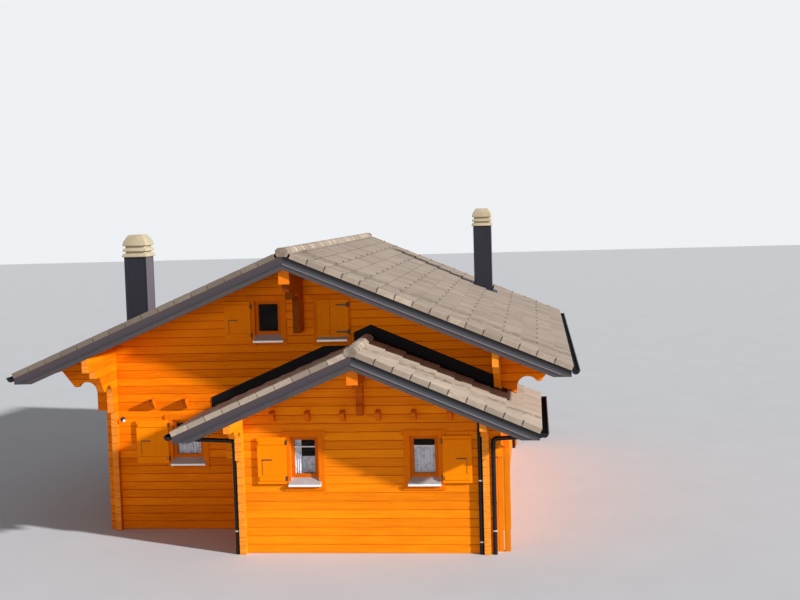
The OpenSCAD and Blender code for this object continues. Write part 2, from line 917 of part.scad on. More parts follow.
module verge_trims() {
    color("#57545a") {
        for (from = [-main_verge_y - trim_thickness, main_verge_y], side = [0, 1])
            along_y(from, from + trim_thickness) mirror([side, 0])
                verge_outline(main_slope, main_ridge_z, main_half_span - tile_reach, trim_drop);
        translate([wing_x, 0, 0])
            for (side = [0, 1])
                along_y(wing_verge_y - trim_thickness, wing_verge_y) mirror([side, 0])
                    verge_outline(wing_slope, wing_ridge_z, wing_half_span - tile_reach, trim_drop);
    }
}

sheet_thickness = 16;

// A band that follows the wing's slopes, from one depth below the tiles to another
module slope_band(from_x, to_x, low, high) {
    places = [from_x, wing_x, to_x];
    polygon(concat([for (k = [0:2]) [places[k], wing_tile(places[k]) + low]],
                   [for (k = [2:-1:0]) [places[k], wing_tile(places[k]) + high]]));
}

module wall_flashing() {
    left_edge = wing_x - wing_half_span + tile_reach;
    right_window = front_windows[2];
    window_clear = right_window[3] / 2 + post_width + head_reach + 10;
    color(dark_metal)
        difference() {
            union() {
                along_y(main_front_y - flashing_width, main_front_y)
                    slope_band(left_edge, strip_x, -tile_depth, sheet_thickness - tile_depth);
                along_y(main_front_y - sheet_thickness, main_front_y)
                    slope_band(left_edge, inner_right_x, -tile_depth, flashing_upstand - tile_depth);
                along_y(main_front_y, strip_end_y)
                    polygon([[main_right_x, wing_tile(main_right_x) - tile_depth],
                             [strip_x, wing_tile(strip_x) - tile_depth],
                             [strip_x, wing_tile(strip_x) + sheet_thickness - tile_depth],
                             [main_right_x, wing_tile(main_right_x) + sheet_thickness - tile_depth]]);
            }
            on_wall("front")
                translate([right_window[1] - window_clear, -flashing_width,
                           right_window[2] - trim_foot - foot_board - 10])
                    cube([2 * window_clear, flashing_width, sky]);
        }
}

// A half round gutter with closed ends
module gutter(x, rim_z, from, to) {
    translate([x, 0, rim_z])
        difference() {
            along_y(from, to) circle(gutter_radius);
            along_y(from + gutter_wall, to - gutter_wall) circle(gutter_radius - gutter_wall);
            along_y(from - past, to + past)
                translate([-gutter_radius - past, 0])
                    square([2 * (gutter_radius + past), gutter_radius + past]);
        }
}

main_gutter_x = main_half_span - tile_reach + gutter_radius;
main_gutter_z = main_tile(main_half_span) - tile_depth - 10;
wing_gutter_reach = wing_half_span - tile_reach + gutter_radius;
wing_gutter_z = wing_tile(wing_eave_x) - tile_depth - 10;

module gutters() {
    color(dark_metal) {
        for (side = [-1, 1])
            gutter(side * main_gutter_x, main_gutter_z, -main_verge_y, main_verge_y);
        gutter(wing_x - wing_gutter_reach, wing_gutter_z, wing_verge_y, main_front_y);
        gutter(wing_x + wing_gutter_reach, wing_gutter_z, wing_verge_y, strip_end_y);
    }
}

// A pipe through places given in x and z, with a short socket at each bend
module pipe(places) {
    last = len(places) - 1;
    for (k = [0:last - 1]) {
        step = places[k + 1] - places[k];
        translate([places[k][0], 0, places[k][1]])
            rotate([0, atan2(step[0], step[1]), 0])
                cylinder(h = norm(step), r = pipe_radius, $fn = pipe_sides);
    }
    for (k = [1:last - 1])
        translate([places[k][0], 0, places[k][1] - pipe_radius - socket_step])
            cylinder(h = 2 * (pipe_radius + socket_step), r = pipe_radius + socket_step, $fn = pipe_sides);
}

// How far a pipe's sockets stand out around it
socket_step = 4;
// How far a clamp stands out around its pipe
clamp_step = 6;
// Flat sides of a pipe in place of its round
pipe_sides = 12;

// A clamp around an upright pipe with a stub back to the wall
module clamp(x, y, z, wall_y) {
    translate([x, y, z]) cylinder(h = clamp_height, r = pipe_radius + clamp_step, $fn = pipe_sides);
    translate([x - 10, y, z]) cube([20, wall_y - y, clamp_height]);
}

pipe_gap = 12;
wing_pipe_y = wing_front_y - pipe_radius - pipe_gap;
left_pipe_x = wing_left_x - pipe_radius - 8;
right_pipe_x = wing_inner_right_x - pipe_radius - 8;
eave_pipe_x = wing_right_x + 75;
elbow_z = 2110;
elbow_fall = 35;

module wing_pipes() {
    left_gutter_x = wing_x - wing_gutter_reach;
    right_gutter_x = wing_x + wing_gutter_reach;
    top = wing_gutter_z - gutter_radius;
    translate([0, wing_pipe_y, 0]) {
        pipe([[left_gutter_x, top], [left_gutter_x, elbow_z + elbow_fall],
              [left_pipe_x, elbow_z], [left_pipe_x, 0]]);
        pipe([[right_gutter_x, top], [right_gutter_x, elbow_z + elbow_fall],
              [eave_pipe_x, elbow_z], [eave_pipe_x, 0]]);
        translate([right_pipe_x, 0, 0])
            cylinder(h = wing_under(right_pipe_x + pipe_radius), r = pipe_radius, $fn = pipe_sides);
    }
}

// A pipe down a main side wall near the rear corner
module rear_pipe(side) {
    rear_pipe_y = main_rear_y - rear_pipe_end;
    wall_x = main_right_x + pipe_gap + pipe_radius;
    top = main_gutter_z - gutter_radius;
    translate([0, rear_pipe_y, 0]) {
        mirror([side, 0, 0])
            pipe([[main_gutter_x, top], [main_gutter_x, top - rear_pipe_drop],
                  [wall_x, top - rear_pipe_fall], [wall_x, 0]]);
        for (z = [clamp_low, clamp_high])
            mirror([side, 0, 0]) {
                translate([wall_x, 0, z])
                    cylinder(h = clamp_height, r = pipe_radius + clamp_step, $fn = pipe_sides);
                translate([main_right_x, -10, z]) cube([wall_x - main_right_x, 20, clamp_height]);
            }
    }
}

module downpipes() {
    color(dark_metal) {
        wing_pipes();
        clamp(left_pipe_x, wing_pipe_y, clamp_low, wing_front_y);
        clamp(right_pipe_x, wing_pipe_y, clamp_foot, wing_front_y);
        clamp(right_pipe_x, wing_pipe_y, clamp_high, wing_front_y);
        clamp(eave_pipe_x, wing_pipe_y, clamp_low, wing_front_y);
        for (side = [0, 1]) rear_pipe(side);
    }
}

cap_base_width = shaft_width + 2 * cap_reach;
left_chimney_x = inner_left_x + left_chimney_side + shaft_width / 2;
left_chimney_y = inner_front_y + left_chimney_end + shaft_depth / 2;
right_chimney_x = inner_right_x - right_chimney_side - shaft_width / 2;
right_chimney_y = inner_rear_y - right_chimney_end - shaft_depth / 2;

module chimney_shaft(x, y, top) {
    translate([x - shaft_width / 2, y - shaft_depth / 2, ground_floor_depth])
        cube([shaft_width, shaft_depth, top - ground_floor_depth]);
}

module left_chimney() {
    color(dark_metal) chimney_shaft(left_chimney_x, left_chimney_y, left_chimney_top - chimney_cap_height);
}

module right_chimney() {
    color(dark_metal) chimney_shaft(right_chimney_x, right_chimney_y, right_chimney_top - chimney_cap_height);
}

// A tapered block that stands on z = 0
module taper(low, high, depth_add, height) {
    intersection() {
        along_y(-low, low)
            polygon([[-low / 2, 0], [low / 2, 0], [high / 2, height], [-high / 2, height]]);
        rotate(90)
            along_y(-low, low)
                polygon([[-(low + depth_add) / 2, 0], [(low + depth_add) / 2, 0],
                         [(high + depth_add) / 2, height], [-(high + depth_add) / 2, height]]);
    }
}

// Concrete cap: a flared base, slotted sides and a tapered hood
module chimney_cap() {
    base = 90;
    hood = 140;
    middle = chimney_cap_height - base - hood;
    middle_width = cap_base_width - 50;
    depth_add = shaft_depth - shaft_width;
    wall = 60;
    taper(cap_base_width, middle_width, depth_add, base);
    translate([0, 0, base])
        difference() {
            translate([-middle_width / 2, -(middle_width + depth_add) / 2, 0])
                cube([middle_width, middle_width + depth_add, middle]);
            for (side = [-1, 1])
                translate([side * middle_width / 4 - 80, -cap_base_width, 40])
                    cube([160, 2 * cap_base_width, middle - 70]);
            translate([-cap_base_width, -(middle_width + depth_add) / 2 + wall, 40])
                cube([2 * cap_base_width, middle_width + depth_add - 2 * wall, middle - 70]);
        }
    translate([0, 0, base + middle]) taper(middle_width - 15, cap_top_width, depth_add, hood);
}

module chimney_caps() {
    color(concrete) {
        translate([left_chimney_x, left_chimney_y, left_chimney_top - chimney_cap_height]) chimney_cap();
        translate([right_chimney_x, right_chimney_y, right_chimney_top - chimney_cap_height]) chimney_cap();
    }
}

module window_frames() {
    color(timber)
        for (w = windows)
            on_wall(w[0])
                translate([w[1], reveal, w[2]])
                    difference() {
                        translate([-w[3] / 2, 0, 0]) cube([w[3], frame_depth, w[4]]);
                        translate([-w[3] / 2 + frame_width, -past, frame_width])
                            cube([w[3] - 2 * frame_width, frame_depth + 2 * past, w[4] - 2 * frame_width]);
                    }
}

module panes(list) {
    color("#9fb4c4")
        for (w = list)
            on_wall(w[0])
                translate([w[1] - w[3] / 2 + frame_width, reveal + (frame_depth - glass_thickness) / 2,
                           w[2] + frame_width])
                    cube([w[3] - 2 * frame_width, glass_thickness, w[4] - 2 * frame_width]);
}

module ground_floor_glass() {
    panes([for (w = windows) if (w[2] < joist_z) w]);
}

module upper_floor_glass() {
    panes([for (w = windows) if (w[2] > joist_z) w]);
}

// A metal sill sloping out from the window frame, its wings in front of the trim posts
module sill(width) {
    foot = -sill_drop - sill_edge;
    along_x(-width / 2, width / 2)
        polygon([[reveal, 0], [-sill_reach, -sill_drop], [-sill_reach, foot], [0, foot],
                 [0, -sill_sheet - sill_slope * reveal], [reveal, -sill_sheet]]);
    along_x(-width / 2 - sill_wing, width / 2 + sill_wing)
        polygon([[-post_thickness, -sill_slope * (reveal + post_thickness)], [-sill_reach, -sill_drop],
                 [-sill_reach, foot], [-post_thickness, foot]]);
}

module window_sills() {
    color(sill_metal)
        for (w = windows)
            on_wall(w[0]) translate([w[1], 0, w[2]]) sill(w[3]);
}

// Posts, head board and foot board around a window
module window_trim(width, height) {
    foot = trim_foot;
    for (side = [0, 1])
        mirror([side, 0, 0])
            translate([width / 2, -post_thickness, -foot])
                cube([post_width, post_thickness, height + foot]);
    translate([-width / 2 - post_width - head_reach, -post_thickness, height])
        cube([width + 2 * (post_width + head_reach), post_thickness, head_board]);
    translate([-width / 2 - post_width - foot_reach, -post_thickness, -foot - foot_board])
        cube([width + 2 * (post_width + foot_reach), post_thickness, foot_board]);
}

module window_trims() {
    color(pale_timber)
        for (w = windows)
            on_wall(w[0]) translate([w[1], 0, w[2]]) window_trim(w[3], w[4]);
}

// A boarded shutter with a batten near its top and bottom
module shutter(width, height) {
    translate([0, -shutter_thickness, 0]) cube([width, shutter_thickness, height]);
    for (z = [batten_inset, height - batten_inset - batten_width])
        translate([batten_inset / 2, -shutter_thickness - batten_thickness, z])
            cube([width - batten_inset, batten_thickness, batten_width]);
}

shutter_drop = 100;
shutter_lap = 30;
batten_inset = 60;
// Leaves of the shutters that are closed: left edge and width, from the window's middle
closed_leaves = [[-288, 238], [-30, 360]];
closed_drop = 60;
// Share of a closed leaf's width that its straps cover
strap_share = 0.7;

// Left edge of a shutter that stands open beside its window
function shutter_x(w) =
    w[6] < 0 ? w[1] - w[3] / 2 - post_width + shutter_lap - w[5]
    : w[1] + w[3] / 2 + post_width - shutter_lap;

module shutters() {
    color(timber)
        for (w = windows)
            on_wall(w[0])
                if (w[6] == 0)
                    for (leaf = closed_leaves)
                        translate([w[1] + leaf[0], -post_thickness, w[2] - closed_drop])
                            shutter(leaf[1], w[4] + closed_drop);
                else
                    translate([shutter_x(w), -post_thickness, w[2] - shutter_drop])
                        shutter(w[5], w[4] + shutter_drop);
}

// Straps on the closed shutters, knuckles at the hinged edges of the open ones
module strap_hinges() {
    strap = 34;
    thickness = 8;
    knuckle = 26;
    face = post_thickness + shutter_thickness;
    color("#202022")
        for (w = windows, level = [0, 1])
            on_wall(w[0])
                if (w[6] == 0)
                    for (side = [0, 1]) {
                        leaf = closed_leaves[side];
                        edge = side == 0 ? leaf[0] : leaf[0] + leaf[1] * (1 - strap_share);
                        low = w[2] - closed_drop + batten_inset + (batten_width - strap) / 2;
                        high = low + w[4] + closed_drop - 2 * batten_inset - batten_width;
                        translate([w[1] + edge + batten_inset / 4, -face - batten_thickness - thickness,
                                   level == 0 ? low : high])
                            cube([leaf[1] * strap_share - batten_inset / 2, thickness, strap]);
                    }
                else
                    translate([shutter_x(w) + (w[6] > 0 ? 0 : w[5] - knuckle), -face - batten_thickness,
                               w[2] - shutter_drop + batten_inset
                               + level * (w[4] + shutter_drop - 2 * batten_inset - batten_width)])
                        cube([knuckle, batten_thickness, batten_width]);
}

module rear_door() {
    inset = 50;
    color(timber)
        on_wall("rear")
            translate([-door_width / 2 + inset, reveal, ground_floor_depth])
                cube([door_width - 2 * inset, door_thickness, door_height - inset]);
}

module rear_door_frame() {
    inset = 50;
    color(pale_timber)
        on_wall("rear") {
            for (side = [0, 1])
                mirror([side, 0, 0])
                    translate([door_width / 2 - inset, 0, ground_floor_depth])
                        cube([inset, log_thickness, door_height]);
            translate([-door_width / 2 + inset, 0, ground_floor_depth + door_height - inset])
                cube([door_width - 2 * inset, log_thickness, inset]);
        }
}

module wall_lamp() {
    lamp_x = -3690;
    lamp_z = 2215;
    color("#202022")
        on_wall("front")
            translate([lamp_x, 0, lamp_z]) {
                translate([-25, -12, -10]) cube([50, 12, 90]);
                translate([0, -12, 55]) rotate([90, 0, 0]) cylinder(h = 90, r = 9);
                translate([0, -102, 22]) cylinder(h = 42, r = 30);
                translate([0, -102, -18]) sphere(globe_radius);
            }
}

module wood_store_panel() {
    panel_x = wing_right_x + wing_foot;
    shoulder = 125;
    slot = 16;
    above_slot = 190;
    slot_top = panel_height - above_slot;
    color(pale_timber)
        along_y(wing_inner_y, wing_inner_y + 60)
            translate([panel_x, 0])
                difference() {
                    polygon([[0, 0], [panel_width, 0], [panel_width, panel_height - shoulder],
                             [panel_width / 2, panel_height], [0, panel_height - shoulder]]);
                    translate([(panel_width - slot) / 2, -past]) square([slot, slot_top + past]);
                }
}

ground_floor();
upper_floor();
main_joists();
wing_joists();
front_wall();
rear_wall();
left_wall();
right_wall();
wing_front_wall();
wing_left_wall();
wing_right_wall();
main_corner_logs();
wing_corner_logs();
main_ridge_beam();
wing_ridge_beam();
main_roof_left();
main_roof_right();
wing_roof_left();
wing_roof_right();
main_tiles_left();
main_tiles_right();
wing_tiles_left();
wing_tiles_right();
main_ridge_caps();
wing_ridge_caps();
main_verge_boards();
wing_verge_boards();
verge_trims();
wall_flashing();
gutters();
downpipes();
left_chimney();
right_chimney();
chimney_caps();
window_frames();
ground_floor_glass();
upper_floor_glass();
window_sills();
window_trims();
shutters();
strap_hinges();
rear_door();
rear_door_frame();
wall_lamp();
wood_store_panel();
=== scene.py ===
# %% [markdown]
# # An alpine log chalet
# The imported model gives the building's true shapes: walls of grooved logs, roof decks, floors and openings.
# This lesson dresses it with what an eye looks for up close: separate tiles, boards, glazing bars, pipes
# with bends, and finishes with grain and weather in them. Everything is in metres, with the origin on the
# ground under the middle of the main body, X to the right, Y away from the front and Z up.

import math

import bpy
import numpy as np
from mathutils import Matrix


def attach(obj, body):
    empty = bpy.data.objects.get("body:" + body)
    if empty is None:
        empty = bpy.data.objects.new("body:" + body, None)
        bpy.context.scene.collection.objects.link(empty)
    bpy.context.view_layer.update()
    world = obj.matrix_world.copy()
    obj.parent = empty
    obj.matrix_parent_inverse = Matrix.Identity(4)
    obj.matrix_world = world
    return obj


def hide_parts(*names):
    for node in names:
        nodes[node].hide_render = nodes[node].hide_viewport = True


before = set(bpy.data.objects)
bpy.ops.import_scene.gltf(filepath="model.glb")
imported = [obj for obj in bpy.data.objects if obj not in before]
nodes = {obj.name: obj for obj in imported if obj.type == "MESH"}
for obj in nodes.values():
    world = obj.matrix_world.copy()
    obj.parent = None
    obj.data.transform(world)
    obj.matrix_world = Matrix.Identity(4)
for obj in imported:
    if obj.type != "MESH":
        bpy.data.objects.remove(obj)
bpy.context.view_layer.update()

# %% [markdown]
# ## The camera
# The viewpoint was found by fitting straight edges of the building: 4.6 m right of the middle, 28 m in
# front and 6.3 m up, looking slightly down. A turned camera could be given Euler angles, but three small
# turns done as vectors are easier to follow: first aim, then tip, then roll.

# %% The camera
scene = bpy.context.scene
RIGHT, AHEAD, UP = np.eye(3)


def aimed(yaw, pitch, roll):
    """Right, up and forward directions after a turn about Z, a tip about right and a roll about forward."""
    forward = math.sin(yaw) * RIGHT + math.cos(yaw) * AHEAD
    right = math.cos(yaw) * RIGHT - math.sin(yaw) * AHEAD
    forward, up = (math.cos(pitch) * forward + math.sin(pitch) * UP,
                   math.cos(pitch) * UP - math.sin(pitch) * forward)
    right, up = (math.cos(roll) * right + math.sin(roll) * up,
                 math.cos(roll) * up - math.sin(roll) * right)
    return right, up, forward


def stand(thing, x, y, z, place=(0.0, 0.0, 0.0)):
    """Links an object and turns it: its three axes and its place are the rows that Blender takes."""
    scene.collection.objects.link(thing)
    rows = np.eye(4)
    rows[:3, :3] = x, y, z
    rows[3, :3] = place
    thing.matrix_world = rows.tolist()


eye = bpy.data.objects.new("camera", bpy.data.cameras.new("camera"))
eye.data.lens = 55.92
eye.data.sensor_width = 36.0
eye.data.clip_end = 500.0
right, up, forward = aimed(-0.1086, -0.0736, -0.0288)
stand(eye, right, up, -forward, (4.58, -28.24, 6.30))
bpy.context.scene.camera = eye
print("camera at", [round(v, 2) for v in eye.matrix_world.translation])

# %% [markdown]
# ## Sockets that do arithmetic
# A finish is mostly sums: a stripe is a rounded coordinate, a weather stain is noise times height. Wiring
# each Math node by hand hides the idea, so one small class wraps a socket and lets Python's own operators
# add the nodes. A second class holds a tree of nodes and adds every other kind with one method. A third is
# that tree for a material: it knows the place on the piece and lays one coat of colour over another.

# %% A socket
def operator(name):
    """A method that adds the Math node of that name."""
    return lambda self, other=0.0: self.wiring.maths(name, self, other)


class Wire:
    """A socket of a tree of nodes; Python's operators on it add Math nodes."""

    def __init__(self, wiring, socket):
        self.wiring = wiring
        self.socket = socket

    __add__ = __radd__ = operator("ADD")
    __sub__ = operator("SUBTRACT")
    __mul__ = __rmul__ = operator("MULTIPLY")
    __truediv__ = operator("DIVIDE")
    __gt__ = operator("GREATER_THAN")
    __lt__ = operator("LESS_THAN")
    __abs__ = operator("ABSOLUTE")
    __floor__ = operator("FLOOR")

    def __rsub__(self, other):
        return self.wiring.maths("SUBTRACT", other, self)


# %% A tree of nodes
class Wiring:
    """A tree of nodes under construction."""

    def __init__(self, tree):
        self.tree = tree

    def node(self, kind, settings=None, inputs=None, out=0):
        """Adds one node, sets it up, then fills its sockets with values or wires."""
        made = self.tree.nodes.new(kind)
        for key, value in (settings or {}).items():
            if key == "stops":
                self.stops(made.color_ramp, value)
            else:
                setattr(made, key, value)
        for key, value in (inputs or {}).items():
            self.fill(made.inputs[key], value)
        return Wire(self, made.outputs[out])

    def stops(self, ramp, colours):
        """Sets a ramp's stops from pairs of a place and a colour."""
        while len(ramp.elements) < len(colours):
            ramp.elements.new(1.0)
        for element, (place, colour) in zip(ramp.elements, colours):
            element.position = place
            element.color = colour

    def fill(self, socket, value):
        """Links a wire to a socket, or sets the socket's own value."""
        if isinstance(value, Wire):
            self.tree.links.new(value.socket, socket)
        else:
            socket.default_value = value

    def maths(self, operation, first, second=0.0):
        """One Math node."""
        return self.node("ShaderNodeMath", {"operation": operation}, {0: first, 1: second})

    def clamp01(self, value):
        """A value held between 0 and 1."""
        return self.node("ShaderNodeClamp", None, {"Value": value})

    def smooth(self, value, low, high):
        """0 below low, 1 above high and an even S between them."""
        settings = {"interpolation_type": "SMOOTHSTEP"}
        return self.node("ShaderNodeMapRange", settings, {"Value": value, "From Min": low, "From Max": high})

    def mix(self, factor, first, second):
        """Two colours mixed by a factor."""
        return self.node("ShaderNodeMix", {"data_type": "RGBA"}, {0: factor, 6: first, 7: second}, 2)

    def apart(self, vector):
        """A vector's X, Y and Z."""
        node = self.tree.nodes.new("ShaderNodeSeparateXYZ")
        self.fill(node.inputs[0], vector)
        return [Wire(self, out) for out in node.outputs]

    def point(self, x, y, z):
        """A vector from three values."""
        return self.node("ShaderNodeCombineXYZ", None, {0: x, 1: y, 2: z})

    def noise(self, vector, scale, detail=3.0, rough=0.55):
        """Cloudy noise between 0 and 1 at a vector."""
        inputs = {"Vector": vector, "Scale": scale, "Detail": detail, "Roughness": rough}
        return self.node("ShaderNodeTexNoise", None, inputs, "Fac")

    def chance(self, vector):
        """A random value that is the same all over each whole-number cell."""
        return self.node("ShaderNodeTexWhiteNoise", {"noise_dimensions": "3D"}, {"Vector": vector}, "Value")


# %% A finish
class Finish(Wiring):
    """A material under construction: its Principled shader and the nodes that feed it."""

    def __init__(self, name, **plain):
        self.material = bpy.data.materials.new(name)
        self.material.use_nodes = True
        super().__init__(self.material.node_tree)
        self.shader = self.tree.nodes["Principled BSDF"]
        for title, value in plain.items():
            self.shader.inputs[title.replace("_", " ")].default_value = value
        self.colour = None
        self.place = self.node("ShaderNodeTexCoord", out="Object")
        self.spot = self.apart(self.place)

    def facing(self):
        """The flat face's own direction, as X, Y and Z."""
        return self.apart(self.node("ShaderNodeNewGeometry", out="True Normal"))

    def cloud(self, scale, detail=3.0, rough=0.55, stretch=(1.0, 1.0, 1.0)):
        """Cloudy noise over the piece, with X, Y and Z first multiplied by the three factors of stretch."""
        stretched = self.point(*(axis * factor for axis, factor in zip(self.spot, stretch)))
        return self.noise(stretched, scale, detail, rough)

    def shade(self, title, value):
        """Feeds one of the shader's sockets."""
        self.fill(self.shader.inputs[title], value)

    def coat(self, colour, share=1.0):
        """Lays a coat of colour over the ones before it, as much as share says, and shows it."""
        self.colour = colour if self.colour is None else self.mix(share, self.colour, colour)
        self.shade("Base Color", self.colour)

    def bump(self, height, distance, strength=1.0):
        """Raises the surface by height times distance metres, as far as light can tell."""
        inputs = {"Height": height, "Distance": distance, "Strength": strength}
        self.shade("Normal", self.node("ShaderNodeBump", None, inputs))


def srgb(red, green, blue):
    """A colour given as a screen shows it, 0 to 255, turned into the light that a shader needs."""
    share = np.array([red, green, blue]) / 255.0
    light = np.where(share <= 0.04045, share / 12.92, ((share + 0.055) / 1.055) ** 2.4)
    return tuple(float(v) for v in light) + (1.0,)


def dress(finish, *names):
    """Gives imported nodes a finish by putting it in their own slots."""
    for name in names:
        for place in nodes[name].material_slots:
            place.material = finish.material
    print(finish.material.name, "on", ", ".join(names))


print("white is", srgb(255, 255, 255))

# %% [markdown]
# ## Light
# A building of this size needs lamps that are large and far away. A narrow sun low in the right front draws
# the slanted edge of the verge's shadow on the walls. A wide, faint and level one from straight ahead lights
# the walls under the verges, which nothing from above reaches. An area lamp could do that too, but it would
# have to be many times as large as the building. The world fills the rest. Its light and its look behind
# the building are set apart with the Light Path node, so a pale backdrop doesn't light more.

# %% The suns
def sun(name, aim, strength, angle, colour=(1.0, 1.0, 1.0)):
    """A lamp that shines along the vector aim, its disc angle degrees wide."""
    lamp = bpy.data.objects.new(name, bpy.data.lights.new(name, "SUN"))
    lamp.data.energy = strength
    lamp.data.angle = math.radians(angle)
    lamp.data.color = colour
    z = -np.array(aim) / np.linalg.norm(aim)
    x = np.cross(UP, z)
    x = x / np.linalg.norm(x)
    stand(lamp, x, np.cross(z, x), z)


scene.view_settings.view_transform = "Standard"
sun("key", (-0.844, 0.380, -0.375), 6.0, 2.0)
sun("front_fill", (0.02, 0.98, -0.05), 0.66, 16.0, (1.0, 0.88, 0.76))

# %% The world
world = bpy.data.worlds.new("studio")
scene.world = world
world.use_nodes = True
sky = Wiring(world.node_tree)
lighting = sky.tree.nodes["Background"]
lighting.inputs["Color"].default_value = (0.95, 0.95, 1.0, 1.0)
lighting.inputs["Strength"].default_value = 0.26
backdrop = sky.node("ShaderNodeBackground", None, {"Color": (0.86, 0.88, 0.90, 1.0)})
shown = sky.node("ShaderNodeLightPath", out="Is Camera Ray")
for ray in ("Is Glossy Ray", "Is Transmission Ray"):
    shown = sky.maths("MAXIMUM", shown, sky.node("ShaderNodeLightPath", out=ray))
choice = sky.node("ShaderNodeMixShader", None, {0: shown, 1: Wire(sky, lighting.outputs[0]), 2: backdrop})
sky.fill(sky.tree.nodes["World Output"].inputs["Surface"], choice)
print("world:", world.name)

# %% [markdown]
# ## Stained logs
# Each course of the walls is one log, and no two logs take the stain alike. The finish counts courses from
# the ground, gives each a tone of its own, draws grain along the log, sets a few knots, darkens the joints
# and shows paler wood where a log is sawn across. An image of planks would repeat; this reads the place on
# the wall instead, so the grain runs through at every corner. The wing is a fresher orange. The gable is
# painted lighter toward the top, as painted light thrown up from below.

# %% Stained logs
COURSE = 0.161
GLAZE = (1.0, 0.72, 0.06, 1.0)


def sawn_end(finish, from_heart, across, tone, joint):
    """Rings about the heart of a log that is sawn across, with a dark rim."""
    rings = finish.noise(finish.point(from_heart * COURSE * 9.0, across * 0.4, tone * 5.0), 11.0, 2.0)
    wood = finish.mix(finish.smooth(rings, 0.4, 0.62), srgb(238, 146, 58), srgb(208, 108, 28))
    return finish.mix(joint * 0.5, wood, srgb(112, 46, 10))


def log_finish(name, along, light, middle, dark):
    """Grain runs along X (0) or Y (1); a face turned along the log is sawn end grain."""
    finish = Finish(name, Specular_IOR_Level=0.5, Specular_Tint=GLAZE)
    x, y, z = finish.spot
    across = finish.spot[1 - along]
    course = math.floor((z + 0.0002) / COURSE)
    from_heart = abs(z / COURSE - course - 0.5)
    tone = finish.chance(finish.point(course, math.floor(across * 0.4), 3.0))
    run = finish.spot[along] + tone * 9.0
    grain = finish.noise(finish.point(run * 0.9, across * 14.0, z * 15.0), 2.0, 5.0, 0.62)
    fine = finish.noise(finish.point(run * 2.2, across * 60.0, z * 70.0), 2.0, 2.0)
    rub = finish.clamp01(grain * 0.9 - 0.02 + (tone - 0.5) * 0.30 + (finish.cloud(0.55, 2.0) - 0.5) * 0.4)
    stops = [(0.08, dark), (0.5, middle), (0.92, light)]
    finish.coat(finish.node("ShaderNodeValToRGB", {"stops": stops}, {"Fac": rub}))
    finish.coat(dark, finish.smooth(fine, 0.58, 0.72) * 0.07)
    cells = {"Vector": finish.point(run * 1.7, across * 5.0, z * 6.2), "Scale": 1.0}
    knots = finish.node("ShaderNodeTexVoronoi", None, cells, "Distance")
    finish.coat(srgb(130, 54, 8), (1.0 - finish.smooth(knots, 0.05, 0.14)) * 0.22)
    joint = finish.smooth(from_heart, 0.455, 0.497)
    finish.coat(srgb(130, 50, 3), joint * 0.3)
    sawn = abs(finish.facing()[along]) > 0.8
    finish.coat(sawn_end(finish, from_heart, across, tone, joint), sawn * 0.85)
    # Painted light: the logs are painted lighter upward, for light thrown up from below onto the gables.
    gable_painted_light = finish.smooth(z, 3.3, 4.2)
    on_wing = (y < -4.5) * (x > -1.3)
    finish.coat(srgb(255, 138, 14), gable_painted_light * 0.45)
    finish.coat(srgb(255, 190, 44), on_wing * 0.10)
    finish.shade("Roughness", 0.5 + grain * 0.22)
    finish.bump(grain * 0.5 + fine * 0.3 - joint * 0.8, 0.004)
    return finish


# %% Logs on the walls
LOG_TONES = (srgb(246, 146, 6), srgb(232, 117, 4), srgb(198, 84, 2))
logs_along_x = log_finish("logs_along_x", 0, *LOG_TONES)
logs_along_y = log_finish("logs_along_y", 1, *LOG_TONES)
dress(logs_along_x, "front_wall", "rear_wall", "wing_front_wall", "main_corner_logs", "wing_corner_logs")
dress(logs_along_y, "left_wall", "right_wall", "wing_left_wall", "wing_right_wall")

# %% [markdown]
# ## Beams, boards and joists
# The ridge beams, the joists and the boarding under the roof run front to back. They get a calmer wood than
# the walls: grain along Y, a joint every board where boards lie side by side, and pale sawn ends. Under the
# verges the joist tips and the sawn faces behind the beam ends are painted dark, as painted shade. Windows,
# doors and shutters take the same finish with its grain upright. Each could have a material of its own, but
# then every change to the grain would be made seven times, so one helper takes the axes and the tones.

# %% Board finish
MAIN_BEAM_TIP = 5.80
WING_BEAM_TIP = 6.95


